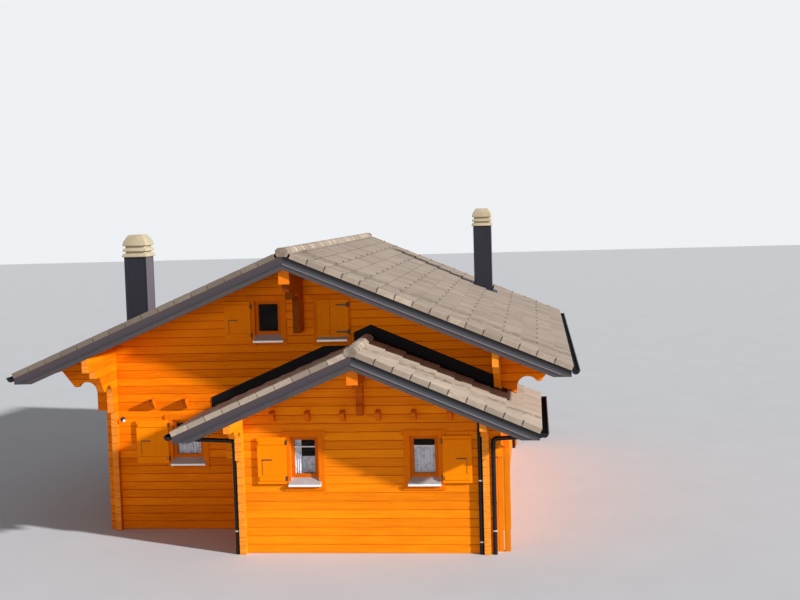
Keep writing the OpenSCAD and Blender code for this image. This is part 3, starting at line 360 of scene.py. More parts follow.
def board_finish(name, along, stacked, width, light, dark, shade_painted_ends=False):
    """Grain along one axis and a thin dark gap every width along another; width 0 leaves the gaps out.
    With shade painted ends only the foremost and rearmost sawn faces are pale, as on a ridge beam; the sawn
    faces behind them are painted dark as painted shade, less dark on the wing."""
    finish = Finish(name, Specular_IOR_Level=0.5, Specular_Tint=GLAZE)
    spot = finish.spot
    pile = spot[stacked]
    seam = 0.0
    if width > 0:
        board = math.floor(pile / width)
        seam = finish.smooth(abs(pile / width - board - 0.5), 0.5 - 0.006 / width, 0.5 - 0.003 / width)
        tone = finish.chance(finish.point(board, 5.0, 1.0))
    else:
        tone = finish.cloud(1.4, 1.0)
    run = spot[along] + tone * 7.0
    third = spot[3 - along - stacked]
    grain = finish.noise(finish.point(run * 1.3, pile * 22.0, third * 20.0), 2.0, 5.0, 0.6)
    fine = finish.noise(finish.point(run * 3.0, pile * 90.0, third * 80.0), 2.0, 2.0)
    finish.coat(finish.mix(finish.clamp01(grain * 1.3 - 0.3 + (tone - 0.5) * 0.4), dark, light))
    finish.coat(dark, finish.smooth(fine, 0.6, 0.75) * 0.2)
    finish.coat(srgb(58, 24, 8), seam * 0.5)
    rings = finish.cloud(60.0, 2.0)
    end_wood = finish.mix(rings, srgb(236, 126, 30), srgb(214, 100, 16))
    # Painted shade: sawn faces behind the outermost ends, under the verges, are painted dark, darker on the
    # main body than on the wing.
    if shade_painted_ends:
        on_main = (abs(spot[1]) > MAIN_BEAM_TIP) * (spot[1] > -MAIN_BEAM_TIP - 0.1)
        outermost = finish.clamp01(on_main + (spot[1] < -WING_BEAM_TIP))
        end_shade = finish.mix(spot[1] < -6.0, srgb(110, 30, 12), srgb(186, 74, 18))
        end_wood = finish.mix(outermost, finish.mix(rings * 0.3, end_shade, srgb(80, 26, 10)), end_wood)
    sawn = abs(finish.facing()[along]) > 0.8
    finish.coat(end_wood, sawn * (0.95 if shade_painted_ends else 0.8))
    finish.shade("Roughness", 0.48 + grain * 0.22)
    finish.bump(grain * 0.4 + fine * 0.3 - seam * 1.6, 0.003)
    return finish


# %% Boards on the building
beams = board_finish("beams_along_y", 1, 0, 0.0, srgb(232, 122, 12), srgb(194, 82, 5), shade_painted_ends=True)
soffit = board_finish("soffit_boards", 1, 0, 0.12, srgb(208, 98, 16), srgb(164, 66, 8))
floor_boards = board_finish("floor_boards", 1, 0, 0.14, srgb(214, 160, 104), srgb(176, 120, 70))
frame_wood = board_finish("frame_wood", 2, 0, 0.0, srgb(222, 104, 10), srgb(184, 74, 4))
trim_wood = board_finish("trim_wood", 2, 0, 0.0, srgb(236, 122, 8), srgb(206, 92, 4))
panel_wood = board_finish("panel_wood", 2, 0, 0.12, srgb(224, 134, 18), srgb(194, 102, 10))
shutter_wood = board_finish("shutter_wood", 2, 0, 0.0, srgb(247, 140, 5), srgb(232, 118, 2))
dress(beams, "main_joists", "wing_joists", "main_ridge_beam", "wing_ridge_beam")
dress(soffit, "main_roof_left", "main_roof_right", "wing_roof_left", "wing_roof_right")
dress(floor_boards, "ground_floor", "upper_floor")
dress(frame_wood, "window_frames")
dress(trim_wood, "window_trims", "rear_door_frame")
dress(panel_wood, "wood_store_panel")

# %% [markdown]
# ## Painted sheet metal
# Gutters, pipes, verges and flashings are dark sheet. Paint on metal is even, so the finish stays quiet: a
# faint cloud in colour and roughness, streaks that run down with the rain, and a soft dent pattern. One flat
# colour would be simpler, but long even faces look like plastic with it. The sills are bare bent sheet; the
# slope of each is painted grey below its white lip, as painted shade.

# %% Painted sheet metal
def sheet_finish(name, light, dark, rough, metal=0.0, streak=0.35, shine=0.5):
    """Clouded paint with upright rain streaks."""
    finish = Finish(name, Metallic=metal, Specular_IOR_Level=shine)
    cloud = finish.cloud(3.0, 4.0)
    rain = finish.cloud(1.5, 3.0, stretch=(16.0, 16.0, 0.8))
    rub = finish.clamp01(cloud * 1.2 - 0.1 + (rain - 0.5) * streak * 2.0)
    finish.coat(finish.mix(rub, dark, light))
    finish.shade("Roughness", rough + (cloud - 0.5) * 0.2)
    finish.bump(cloud, 0.003, 0.5)
    return finish


anthracite = sheet_finish("anthracite_sheet", srgb(66, 57, 59), srgb(45, 38, 42), 0.5)
pipe_black = sheet_finish("pipe_black", srgb(28, 26, 29), srgb(15, 14, 17), 0.45, shine=0.2)
# A painted sheen for the folded edges of the right hand slopes.
edge_painted_sheen = sheet_finish("edge_painted_sheen", srgb(112, 110, 118), srgb(88, 86, 94), 0.45)
gutter_black = sheet_finish("gutter_black", srgb(40, 43, 50), srgb(28, 30, 36), 0.7, shine=0.05)
# Near black: a dark sheet, with painted shade from the main roof's overhang laid over it.
flashing_shade_black = sheet_finish("flashing_shade_black", srgb(18, 17, 20), srgb(8, 8, 10), 0.6, shine=0.1)
black_iron = sheet_finish("black_iron", srgb(40, 38, 40), srgb(22, 20, 22), 0.5)
stop_brown = sheet_finish("stop_brown", srgb(96, 84, 74), srgb(70, 60, 52), 0.6)
bright_metal = sheet_finish("bright_metal", srgb(214, 218, 222), srgb(168, 172, 178), 0.3, 0.6, 0.1)
dress(anthracite, "main_verge_boards", "wing_verge_boards")
dress(gutter_black, "gutters")
dress(flashing_shade_black, "wall_flashing")

# %% Sills
sill_sheet = Finish("sill_sheet", Roughness=0.4, Metallic=0.15)
cloud = sill_sheet.cloud(6.0)
sill_sheet.coat(sill_sheet.mix(cloud, srgb(228, 228, 230), srgb(248, 248, 250)))
# Painted shade: the upward slope of a sill is painted grey.
sill_sheet.coat(sill_sheet.mix(cloud, srgb(150, 146, 146), srgb(184, 179, 178)), sill_sheet.facing()[2] > 0.3)
dress(sill_sheet, "window_sills")

# %% [markdown]
# ## Blocks by the thousand
# Tiles, boards, battens and hooks are all blocks with a softened outer edge. A Bevel modifier on thousands
# of cubes is slow and rounds edges nobody sees. Twelve points do it: a rectangle at the back, the same
# rectangle just below the front, and a smaller one on the front, all worked out as whole arrays.

# %% A piece
def piece(name, parts, finish, replaces=None, tones=None):
    """Joins pairs of points and faces into one mesh that rides on the building and takes a finish.
    tones names values for every point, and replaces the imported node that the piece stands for."""
    starts = np.cumsum([0] + [len(points) for points, faces in parts[:-1]])
    points = np.concatenate([points for points, faces in parts])
    faces = np.concatenate([part[1] + start for part, start in zip(parts, starts)])
    mesh = bpy.data.meshes.new(name)
    mesh.from_pydata(points.tolist(), [], faces.tolist())
    mesh.materials.append(finish.material)
    for title, values in (tones or {}).items():
        mesh.attributes.new(title, "FLOAT", "POINT").data.foreach_set("value", np.asarray(values, float))
    made = bpy.data.objects.new(name, mesh)
    scene.collection.objects.link(made)
    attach(made, "root")
    if replaces:
        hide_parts(replaces)
    print(name, "has", len(mesh.polygons), "faces")
    return made


# %% Blocks by the thousand
BLOCK_POINTS = 12


def blocks(origin, across, up, out, low, high, bevel=0.003):
    """Corner (u, v, n) of a block lies at origin + u across + v up + n out. origin, low and high hold a row
    for each block, or one for all. The outer face is drawn in by the bevel on its four sides."""
    origin, low, high = np.broadcast_arrays(*(np.atleast_2d(part) for part in (origin, low, high)))
    at_low = np.array([[0, 0], [1, 0], [1, 1], [0, 1]]) == 0
    corner = np.where(at_low, low[:, None, :2], high[:, None, :2])
    flat = np.concatenate([corner, corner, corner + np.where(at_low, bevel, -bevel)], axis=1)
    rise = np.stack([low[:, 2], high[:, 2] - bevel, high[:, 2]], axis=1).repeat(4, axis=1)
    points = (origin[:, None] + flat[..., :1] * np.asarray(across) + flat[..., 1:] * np.asarray(up)
              + rise[..., None] * np.asarray(out))
    ring = np.array([[k, (k + 1) % 4, (k + 1) % 4 + 4, k + 4] for k in range(4)])
    one = np.concatenate([[[3, 2, 1, 0]], ring, ring + 4, [[8, 9, 10, 11]]])
    faces = one + BLOCK_POINTS * np.arange(len(low))[:, None, None]
    return points.reshape(-1, 3), faces.reshape(-1, 4)


print("a block has", BLOCK_POINTS, "points")

# %% [markdown]
# ## Roof tiles
# The roofs carry flat concrete tiles in broken bond: each course starts half a tile off the one below and
# lies over its upper edge, so the surface steps down one lip at a time. Each slope has its own directions,
# along the eave, up to the ridge and out of the roof, and every tile is tipped back by the lip it lies on.
# A displacement texture could fake the courses, but their edges catch the light in this building's picture.

# %% Roof slopes
class Slope:
    """One side of a roof: where its ridge is, which way it falls and how wide it spreads."""

    def __init__(self, ridge_x, ridge_z, pitch, half_span, side):
        self.side = side
        self.ridge = np.array([ridge_x, 0.0, ridge_z])
        self.fall = math.radians(pitch)
        self.length = half_span / math.cos(self.fall)
        self.up = -side * math.cos(self.fall) * RIGHT + math.sin(self.fall) * UP
        self.out = side * math.sin(self.fall) * RIGHT + math.cos(self.fall) * UP
        self.across = np.cross(self.up, self.out)

    def spot(self, down, y, out=0.0):
        """Points that lie down metres below the ridge along the slope, at a place along Y."""
        down, y, out = (np.asarray(part)[..., None] for part in (down, y, out))
        return self.ridge - down * self.up + y * AHEAD + out * self.out

    def blocks(self, down, low, high, bevel=0.003, y=0.0):
        """Blocks on the slope, whose (across, up, out) start at down metres below the ridge."""
        return blocks(self.spot(down, y), self.across, self.up, self.out, low, high, bevel)


# The middle and the height of a ridge, the slant of its slopes in degrees and half of their span
MAIN_RIDGE = (0.0, 5.600, 22.75, 5.250)
WING_RIDGE = (1.380, 3.880, 23.25, 3.280)
main_left, main_right = (Slope(*MAIN_RIDGE, side) for side in (-1, 1))
wing_left, wing_right = (Slope(*WING_RIDGE, side) for side in (-1, 1))
MAIN_FRONT = -5.927
MAIN_BACK = 5.927
WING_FRONT = -7.080
WING_BACK = -4.755
STRIP_BACK = -2.900
# Slope, place along Y and way outward of every verge
VERGES = [(main_left, MAIN_FRONT, -1), (main_left, MAIN_BACK, 1), (main_right, MAIN_FRONT, -1),
          (main_right, MAIN_BACK, 1), (wing_left, WING_FRONT, -1), (wing_right, WING_FRONT, -1)]
print("slope lengths", round(main_left.length, 3), round(wing_left.length, 3))

# %% Tile finish
tile_stone = Finish("roof_tile_stone")
tone, dirt, rim = (tile_stone.node("ShaderNodeAttribute", {"attribute_name": title}, None, "Fac")
                   for title in ("tone", "dirt", "rim"))
cloud = tile_stone.cloud(1.2, 4.0)
sand = tile_stone.cloud(70.0, 4.0, 0.7)
moss = tile_stone.smooth(tile_stone.cloud(9.0, 5.0), 0.35, 0.6)
rub = tile_stone.clamp01(tone * 0.7 + cloud * 0.35 - 0.12)
tile_stone.coat(tile_stone.mix(rub, srgb(115, 101, 90), srgb(198, 180, 160)))
tile_stone.coat(srgb(104, 98, 88), tile_stone.smooth(sand, 0.45, 0.7) * 0.15)
tile_stone.coat(srgb(84, 68, 52), tile_stone.clamp01(dirt * 1.2 * moss) * 0.75)
# Painted shade: the sides and edges of each tile are darkened where the steps between courses shade them.
tile_stone.coat(srgb(66, 57, 51), rim * 0.6)
tile_stone.shade("Roughness", 0.78 + sand * 0.15)
tile_stone.bump(sand * 0.6 + cloud * 0.4, 0.002)
print("tile finish:", len(tile_stone.tree.nodes), "nodes")

# %% Rows of tiles
TILE_COVER = 0.300
TILE_COURSE = 0.345
TILE_LIP = 0.024
TILE_LAP = 0.010
TILE_GAP = 0.0018
chance = np.random.default_rng(7)


def tile_rows(slope, front, back_of, hole=None):
    """Rows of tiles from the eave up; every other row starts half a tile on, row k ends at back_of(k), and
    tiles inside the hole are left out. Gives each tile's ends along Y, the way down to it and its length."""
    tiles = []
    for k in range(int(slope.length / TILE_COURSE) + 1):
        end = back_of(k)
        joints = np.arange(front + TILE_COVER * (0.5 if k % 2 else 1.0), end - 0.05, TILE_COVER)
        edges = np.concatenate([[front], joints, [end]])
        down = slope.length - k * TILE_COURSE
        length = min(TILE_COURSE + TILE_LAP, down)
        tiles.append(np.stack(np.broadcast_arrays(edges[:-1], edges[1:], down, length)))
    tiles = np.concatenate(tiles, axis=1)
    low, high, down, length = tiles
    if hole:
        inside = (low > hole[0]) & (high < hole[1]) & (down - length > hole[2]) & (down < hole[3])
        tiles = tiles[:, ~inside]
    return tiles


def lay_tiles(name, slope, tiles, node, dirt_at, pale=0.0):
    """Tips each tile back by its lip and makes it a block with a tone, dirt and a rim of painted shade."""
    low, high, down, length = tiles
    count = len(low)
    tip = math.atan2(TILE_LIP * math.cos(slope.fall), TILE_COURSE)
    up = math.cos(tip) * slope.up - math.sin(tip) * slope.out
    out = math.cos(tip) * slope.out + math.sin(tip) * slope.up
    origin = slope.spot(down, 0.0, chance.uniform(-0.0012, 0.0012, count))
    sides = np.sort(tiles[:2] * slope.side, axis=0)
    first = np.stack([sides[0] + TILE_GAP, np.zeros(count), np.full(count, -TILE_LIP)], axis=1)
    last = np.stack([sides[1] - TILE_GAP, length, np.zeros(count)], axis=1)
    tone = chance.uniform(0.13, 0.38, count) + pale
    dirt = np.clip(dirt_at((low + high) / 2.0, down) + chance.uniform(-0.25, 0.25, count), 0.0, 1.0)
    # rim marks the points on each tile's sides, which take painted shade.
    rim = np.arange(BLOCK_POINTS * count) % BLOCK_POINTS < 8
    tones = {"tone": tone.repeat(BLOCK_POINTS), "dirt": dirt.repeat(BLOCK_POINTS), "rim": rim}
    parts = [blocks(origin, slope.across, up, out, first, last, 0.009)]
    piece(name, parts, tile_stone, node, tones)


print("one tile covers", TILE_COVER, "by", TILE_COURSE, "m")

# %% Main roof tiles
SHAFT = (0.445, 0.500)
left_shaft = (-3.4075, -3.700)
right_shaft = (3.2675, 3.850)


def shaft_hole(slope, centre):
    """Where a chimney shaft passes through: its ends along Y and down the slope, each a bit further out."""
    down = abs(centre[0]) / math.cos(slope.fall)
    half_y = SHAFT[1] / 2 + 0.01
    long = SHAFT[0] / 2 / math.cos(slope.fall) + 0.01
    return centre[1] - half_y, centre[1] + half_y, down - long, down + long


def main_dirt(y, down):
    """A soiled band beside the verge, wider toward the eave, and a faint one along the ridge."""
    band = np.exp(-((y - MAIN_FRONT - 1.25 - 0.05 * down) / 0.35) ** 2)
    return 0.75 * band + 0.25 * (down < 0.8)


rows = tile_rows(main_left, MAIN_FRONT, lambda k: MAIN_BACK, shaft_hole(main_left, left_shaft))
lay_tiles("tiles_main_left", main_left, rows, "main_tiles_left", main_dirt)
rows = tile_rows(main_right, MAIN_FRONT, lambda k: MAIN_BACK, shaft_hole(main_right, right_shaft))
lay_tiles("tiles_main_right", main_right, rows, "main_tiles_right", main_dirt)

# %% Wing roof tiles
def wing_dirt(y, down):
    """A narrow brown band across the middle of the field."""
    from_front = y - WING_FRONT
    return 0.75 * np.exp(-((from_front - 0.95) / 0.16) ** 2) + 0.1 * (from_front > 2.1)


def ragged(k):
    """The courses beside the wall end a little short of each other."""
    return WING_BACK - 0.075 * (k % 2)


def past_corner(k):
    """On the right the two lowest courses run on beside the main body."""
    return STRIP_BACK if k < 2 else ragged(k)


rows = tile_rows(wing_left, WING_FRONT, ragged)
lay_tiles("tiles_wing_left", wing_left, rows, "wing_tiles_left", wing_dirt, 0.5)
rows = tile_rows(wing_right, WING_FRONT, past_corner)
lay_tiles("tiles_wing_right", wing_right, rows, "wing_tiles_right", wing_dirt, 0.5)

# %% [markdown]
# ## Verges
# Painted trims close the ends of the roofs, and the outermost tile of each course turns down over them in
# a short flap. Between two flaps a sliver of dark shows, and on the right hand slopes a small dark hook
# bridges it. One finish does all the trims: it works out how far a point lies below the line of its own
# roof, so painted light can follow the slant. The foot of every trim is painted grey-blue as a painted
# reflection of the sky, and on the right hand slopes the top is painted nearly black as painted shade.
# Snow stops, little dark noses on every third tile, stand staggered over the main slopes. Array modifiers
# could copy all of these along the roof. Here they are counted from the courses that the tiles use, so they
# stay in step with the tiles.

# %% Verge trims
trim_sheet = Finish("trim_sheet", Roughness=0.5, Specular_IOR_Level=0.2)
x, y, z = trim_sheet.spot
on_wing = y < -6.5
beside = x - on_wing * WING_RIDGE[0]
main_slant, wing_slant = (math.tan(math.radians(ridge[2])) for ridge in (MAIN_RIDGE, WING_RIDGE))
ridge_line = MAIN_RIDGE[1] - on_wing * (MAIN_RIDGE[1] - WING_RIDGE[1])
level = z - ridge_line + abs(beside) * (on_wing * (wing_slant - main_slant) + main_slant)
# upper is the top band of a trim, next to the tiles; below it the trim takes a painted reflection of the sky.
upper = trim_sheet.smooth(level, -0.275, -0.13)
# Left hand slopes: a painted reflection of the sky, bluer at the foot.
trim_sheet.coat(trim_sheet.mix(upper, srgb(54, 59, 68), srgb(74, 62, 65)))
# Right hand slopes: painted shade, nearly black at the top, and a painted reflection of the sky, grey at the
# foot.
trim_sheet.coat(trim_sheet.mix(upper, srgb(84, 85, 92), srgb(7, 5, 8)), beside > 0.0)
trim_sheet.coat(srgb(40, 38, 42), trim_sheet.cloud(3.0) * 0.25)
dress(trim_sheet, "verge_trims")

# %% Verge flaps and hooks
FLAP = 0.095


def along_verge(verge, start, behind, ahead, low, high, bevel):
    """A block at each course from start up, from behind to ahead of a verge; low and high are (up, out)."""
    slope, y, outward = verge
    down = slope.length - np.arange(start, int(slope.length / TILE_COURSE)) * TILE_COURSE
    face = slope.side * outward
    u = sorted([y * slope.side - face * behind, y * slope.side + face * ahead])
    return slope.blocks(down, [u[0], *low], [u[1], *high], bevel)


flaps = [along_verge(verge, 0, 0.004, 0.012, (0.007, -FLAP), (TILE_COURSE - 0.005, 0.004), 0.004)
         for verge in VERGES]
hooks = [along_verge(verge, 1, 0.030, 0.018, (-0.007, -0.060), (0.007, 0.020), 0.002)
         for verge in VERGES if verge[0].side > 0]
counts = [len(points) for points, faces in flaps]
tone = chance.uniform(0.2, 1.0, sum(counts) // BLOCK_POINTS).repeat(BLOCK_POINTS)
# Painted shade: the flaps of the main left slope are darkened all over through the tiles' rim.
on_main_left = np.repeat([verge[0] is main_left for verge in VERGES], counts)
tones = {"tone": tone, "dirt": tone * 0.3, "rim": on_main_left}
piece("verge_flaps", flaps, tile_stone, tones=tones)
piece("verge_hooks", hooks, black_iron)

# %% Snow stops
def snow_stops(slope, front, back):
    """Noses on every third tile of every second course, moved on by a tile or two from course to course."""
    rows = np.arange(2, int(slope.length / TILE_COURSE) - 1, 2)
    columns = np.arange(int((back - front) / TILE_COVER / 3.0))
    row, column = [part.ravel() for part in np.meshgrid(rows, columns, indexing="ij")]
    y = front + TILE_COVER * (0.5 + 3 * column + row % 3)
    keep = y < back - 0.3
    down = (slope.length - row * TILE_COURSE)[keep]
    return slope.blocks(down, [-0.012, -0.004, -0.004], [0.012, 0.034, 0.016], 0.005, y[keep])


stops = [snow_stops(slope, MAIN_FRONT + 0.6, MAIN_BACK) for slope in (main_left, main_right)]
piece("snow_stops", stops, stop_brown)

# %% [markdown]
# ## Ridge caps
# A ridge is closed by short angled caps, each lying over the narrow end of the one before it. One cap is a
# seven-point arch drawn twice, wide at its front and narrower at its back, with an inner arch for its
# thickness. One cap in an Array modifier would give them all the same tone; rows of points give each its
# own. The first cap is closed by a plate with cut corners, which also hides where the flaps meet.

# %% Ridge caps
CAP_COVER = 0.360
CAP_LENGTH = 0.420
CAP_HALF = 0.125
CAP_THICK = 0.014


def ridge_arch(slope, shrink, inset, lift):
    """Seven points over a ridge: (x, z) from the edge on one slope over the top to the other edge."""
    half = np.array([CAP_HALF, 0.121, 0.066, 0.0])
    rise = np.array([-CAP_HALF * math.tan(slope.fall), -0.028, 0.034, 0.047])
    x = np.concatenate([-half, half[-2::-1]]) * (1.0 - shrink) * (1.0 - inset / CAP_HALF)
    z = np.concatenate([rise, rise[-2::-1]]) - inset + lift
    return np.stack([x, z], axis=1)


def ridge_caps(name, slope, front, back, node):
    """Caps from front to back along a ridge: the outer and inner arch at both ends of every cap."""
    starts = np.arange(front, back - 0.1, CAP_COVER)
    ends = np.minimum(starts + CAP_LENGTH, back)
    wide, narrow = (0.0, 0.004), (0.10, -0.006)
    arches = np.stack([ridge_arch(slope, shrink, inset, lift) for (shrink, lift), inset in
                       ((wide, 0.0), (narrow, 0.0), (narrow, CAP_THICK), (wide, CAP_THICK))])
    y = np.stack([starts, ends, ends, starts], axis=1)[:, :, None, None]
    points = slope.ridge + arches[..., :1] * RIGHT + arches[..., 1:] * UP + y * AHEAD
    k = np.arange(6)
    sides = [np.stack([a * 7 + k, a * 7 + k + 1, b * 7 + k + 1, b * 7 + k], axis=1)
             for a, b in ((0, 1), (1, 2), (2, 3), (3, 0))]
    one = np.concatenate(sides + [[[0, 7, 14, 21], [27, 20, 13, 6]]])
    faces = one + 28 * np.arange(len(starts))[:, None, None]
    tone = chance.uniform(0.2, 1.0, len(starts)).repeat(28)
    piece(name, [(points.reshape(-1, 3), faces.reshape(-1, 4))], tile_stone, node,
          {"tone": tone, "dirt": tone * 0.4})


ridge_caps("ridge_caps_main", main_left, MAIN_FRONT, MAIN_BACK, "main_ridge_caps")
ridge_caps("ridge_caps_wing", wing_left, WING_FRONT, WING_BACK, "wing_ridge_caps")

# %% Ridge end plates
PLATE = np.array([[-0.066, 0.046], [-0.118, 0.004], [-0.124, -0.066], [-0.084, -0.128],
                  [0.084, -0.128], [0.124, -0.066], [0.118, 0.004], [0.066, 0.046]])


def end_plate(slope, y, outward):
    """An eight-sided plate across the ridge, its front drawn in a little on every side."""
    points = np.concatenate([slope.ridge + size * (PLATE[:, :1] * RIGHT + PLATE[:, 1:] * UP)
                             + (y + outward * ahead) * AHEAD
                             for size, ahead in ((1.0, -0.030), (1.0, 0.010), (0.93, 0.020))])
    k = np.arange(8)
    around = np.stack([k, (k + 1) % 8, (k + 1) % 8 + 8, k + 8], axis=1)
    fan = np.array([[16, 17, 18, 19], [16, 19, 20, 23], [20, 21, 22, 23]])
    faces = np.concatenate([around, around + 8, fan, fan[:, ::-1] - 16])
    return points, faces if outward < 0 else faces[:, ::-1]


plates = [end_plate(*verge) for verge in VERGES if verge[0].side < 0]
count = 24 * len(plates)
piece("ridge_end_plates", plates, tile_stone,
      tones={"tone": np.full(count, 0.35), "dirt": np.full(count, 0.6)})

# %% [markdown]
# ## Tubes along a path
# Pipes, beads, brackets and rods are all a ring carried along a path. At each point of the path the ring
# stands square to the way the path runs, so a bend keeps its thickness. Sharp corners are first replaced by
# short arcs. A Curve object with a bevel would do as well; arrays keep the size of every ring in view.

# %% Paths with round corners
def rounded(corners, radius, steps=7):
    """Replaces each inner corner of a path by an arc that touches both of its sides."""
    corners = np.asarray(corners, float)
    out = [corners[:1]]
    for before, corner, after in zip(corners[:-2], corners[1:-1], corners[2:]):
        a = (before - corner) / np.linalg.norm(before - corner)
        b = (after - corner) / np.linalg.norm(after - corner)
        half = math.acos(float(np.clip(a @ b, -1.0, 1.0))) / 2.0
        centre = corner + (a + b) / np.linalg.norm(a + b) * radius / math.sin(half)
        first = corner + a * radius / math.tan(half) - centre
        last = corner + b * radius / math.tan(half) - centre
        share = np.linspace(0.0, 1.0, steps)[:, None]
        arc = first * (1.0 - share) + last * share
        out.append(centre + arc / np.linalg.norm(arc, axis=1, keepdims=True) * radius)
    out.append(corners[-1:])
    return np.concatenate(out)


bend = rounded([[0, 0, 0], [1, 0, 0], [1, 1, 0]], 0.1)
print("a square bend gets", len(bend), "points")

# %% Tubes along a path
import bmesh


def grid_faces(rows, columns):
    """Quads between the rows of a grid whose last column joins the first."""
    i, j = np.meshgrid(np.arange(rows - 1), np.arange(columns), indexing="ij")
    k = (j + 1) % columns
    below = i * columns
    above = below + columns
    return np.stack([below + j, below + k, above + k, above + j], axis=-1).reshape(-1, 4)


def tube(path, radius, beside, sides=14):
    """Point (i, j) is path[i] plus radius[i] times the j-th direction of a ring square to the path.
    beside is any direction square to the whole path. The ends are closed by rings of no width."""
    radius = np.pad(np.broadcast_to(radius, len(path)).astype(float), 1)
    path = np.pad(np.asarray(path, float), ((1, 1), (0, 0)), mode="edge")
    ahead = np.gradient(path, axis=0)
    ahead[0] = ahead[1] = path[2] - path[1]
    ahead[-1] = ahead[-2] = path[-2] - path[-3]
    ahead = ahead / np.linalg.norm(ahead, axis=1, keepdims=True)
    first = np.broadcast_to(beside, ahead.shape)[:, None]
    second = np.cross(ahead, beside)[:, None]
    angle = np.arange(sides)[:, None] * 2.0 * math.pi / sides
    points = path[:, None] + radius[:, None, None] * (np.cos(angle) * first + np.sin(angle) * second)
    return points.reshape(-1, 3), grid_faces(len(path), sides)


def welded(made, sharp=40.0):
    """Merges doubled points, turns the faces outward and shades the round parts smoothly."""
    work = bmesh.new()
    work.from_mesh(made.data)
    bmesh.ops.remove_doubles(work, verts=work.verts, dist=0.00002)
    bmesh.ops.recalc_face_normals(work, faces=work.faces)
    work.to_mesh(made.data)
    work.free()
    made.data.shade_smooth()
    made.data.set_sharp_from_angle(angle=math.radians(sharp))
    return made


print("a tube along it gets", len(tube(bend, 0.04, UP)[0]), "points")

# %% [markdown]
# ## Verge lines, gutters and eaves
# A folded edge runs along the foot of the verge trims, painted bright on the right hand slopes as a
# painted sheen from the sun. The gutters have a rolled bead at their front edge and a bracket every 80 cm,
# a dark strip closes the eaves under the lowest tiles, and a drip edge covers the face of the deck above
# each gutter. A bump in the finish could hint at such edges, but they draw the outline of the roof, so they
# are real tubes and blocks.

# %% Verge lines
EDGE = 0.045
TRIM_FOOT = -0.258


def trim_line(slope, y, outward):
    """The folded edge at the foot of a verge trim, a thin rod a little in front of it."""
    reach = slope.length - (EDGE + 0.105) / math.cos(slope.fall)
    line = slope.spot([0.100, reach], y + outward * 0.001, TRIM_FOOT * math.cos(slope.fall))
    return tube(line, 0.010, AHEAD, 8)


# The folded edges stay dark on the left hand slopes and are painted bright on the right, as a painted sheen
# from the sun.
for side, name, metal in ((-1, "verge_edges_left", anthracite), (1, "verge_edges_right", edge_painted_sheen)):
    lines = [trim_line(*verge) for verge in VERGES if verge[0].side == side]
    welded(piece(name, lines, metal))

# %% Eave strips
eave_parts = []
for slope, front, back in ((main_left, MAIN_FRONT, MAIN_BACK), (main_right, MAIN_FRONT, MAIN_BACK),
                           (wing_left, WING_FRONT, WING_BACK), (wing_right, WING_FRONT, STRIP_BACK)):
    u = sorted([front * slope.side, back * slope.side])
    eave_parts.append(slope.blocks(slope.length, [u[0] + 0.02, 0.034, -0.069],
                                   [u[1] - 0.02, 0.047, -0.026], 0.001))
    outward = slope.side * RIGHT
    drop = math.sin(slope.fall) * slope.length + 0.085
    deck_edge = slope.ridge + (math.cos(slope.fall) * slope.length - EDGE) * outward - drop * UP
    eave_parts.append(blocks(deck_edge, slope.across, UP, outward,
                             [u[0] + 0.031, 0.001, -0.001], [u[1] - 0.031, 0.028, 0.004], 0.001))
piece("eave_strips", eave_parts, pipe_black)

# %% Gutter beads and brackets
# Middle, rim, front and back of every gutter, and which way is away from the building
GUTTERS = ((-5.280, 3.3135, -5.915, 5.915, -1.0), (5.280, 3.3135, -5.915, 5.915, 1.0),
           (-1.930, 2.3858, -7.068, -4.275, -1.0), (4.690, 2.3858, -7.068, -2.900, 1.0))
bead_parts = []
turn = np.linspace(math.pi, 2.0 * math.pi, 13)[:, None]
for x, rim, front, back, away in GUTTERS:
    line = [(x + away * 0.073, y, rim + 0.001) for y in (front, back)]
    bead_parts.append(tube(line, 0.011, RIGHT, 8))
    for y in np.arange(front + 0.35, back - 0.1, 0.80):
        bow = np.array([x, y, rim]) + 0.079 * (np.cos(turn) * RIGHT + np.sin(turn) * UP)
        bead_parts.append(tube(bow, 0.006, AHEAD, 6))
welded(piece("gutter_beads_and_brackets", bead_parts, anthracite))

# %% [markdown]
# ## Downpipes
# Each pipe leaves its gutter, turns to the wall in two bends and runs down to the ground. The solids use
# twelve-sided prisms. A modifier could smooth them but would leave their corners, so the same centre lines
# carry new round pipes with real bends and sockets. The clamps are bright bands with a stub to the wall.

# %% Downpipes
PIPE = 0.040
TO_WALL = 0.052
WING_PIPE_Y = -6.070
MAIN_PIPE_Y = 3.880
pipe_parts = []
clamp_parts = []


def collar(x, y, z, tall, edge, grow):
    """A ring round a pipe, wider than it by grow, whose two edges are drawn in."""
    band = [(x, y, z + h) for h in (0.0, edge, tall - edge, tall)]
    return tube(band, [PIPE, PIPE + grow, PIPE + grow, PIPE], AHEAD, 20)


def pipe_run(y, corners, sockets):
    """A round pipe through corners given as (x, z), with a wider socket at each height of its last leg."""
    pipe_parts.append(tube(rounded([(x, y, z) for x, z in corners], 0.075), PIPE, AHEAD, 20))
    pipe_parts.extend(collar(corners[-1][0], y, z, 0.064, 0.004, 0.004) for z in sockets)


def clamp_band(x, y, z, wall_way):
    """A bright band round a pipe and the stub that holds it; wall_way points from the pipe to the wall."""
    clamp_parts.append(collar(x, y, z, 0.030, 0.003, 0.006))
    root = np.array([x, y, z + 0.015])
    clamp_parts.append(tube([root, root + TO_WALL * wall_way], 0.008, np.cross(wall_way, UP), 10))


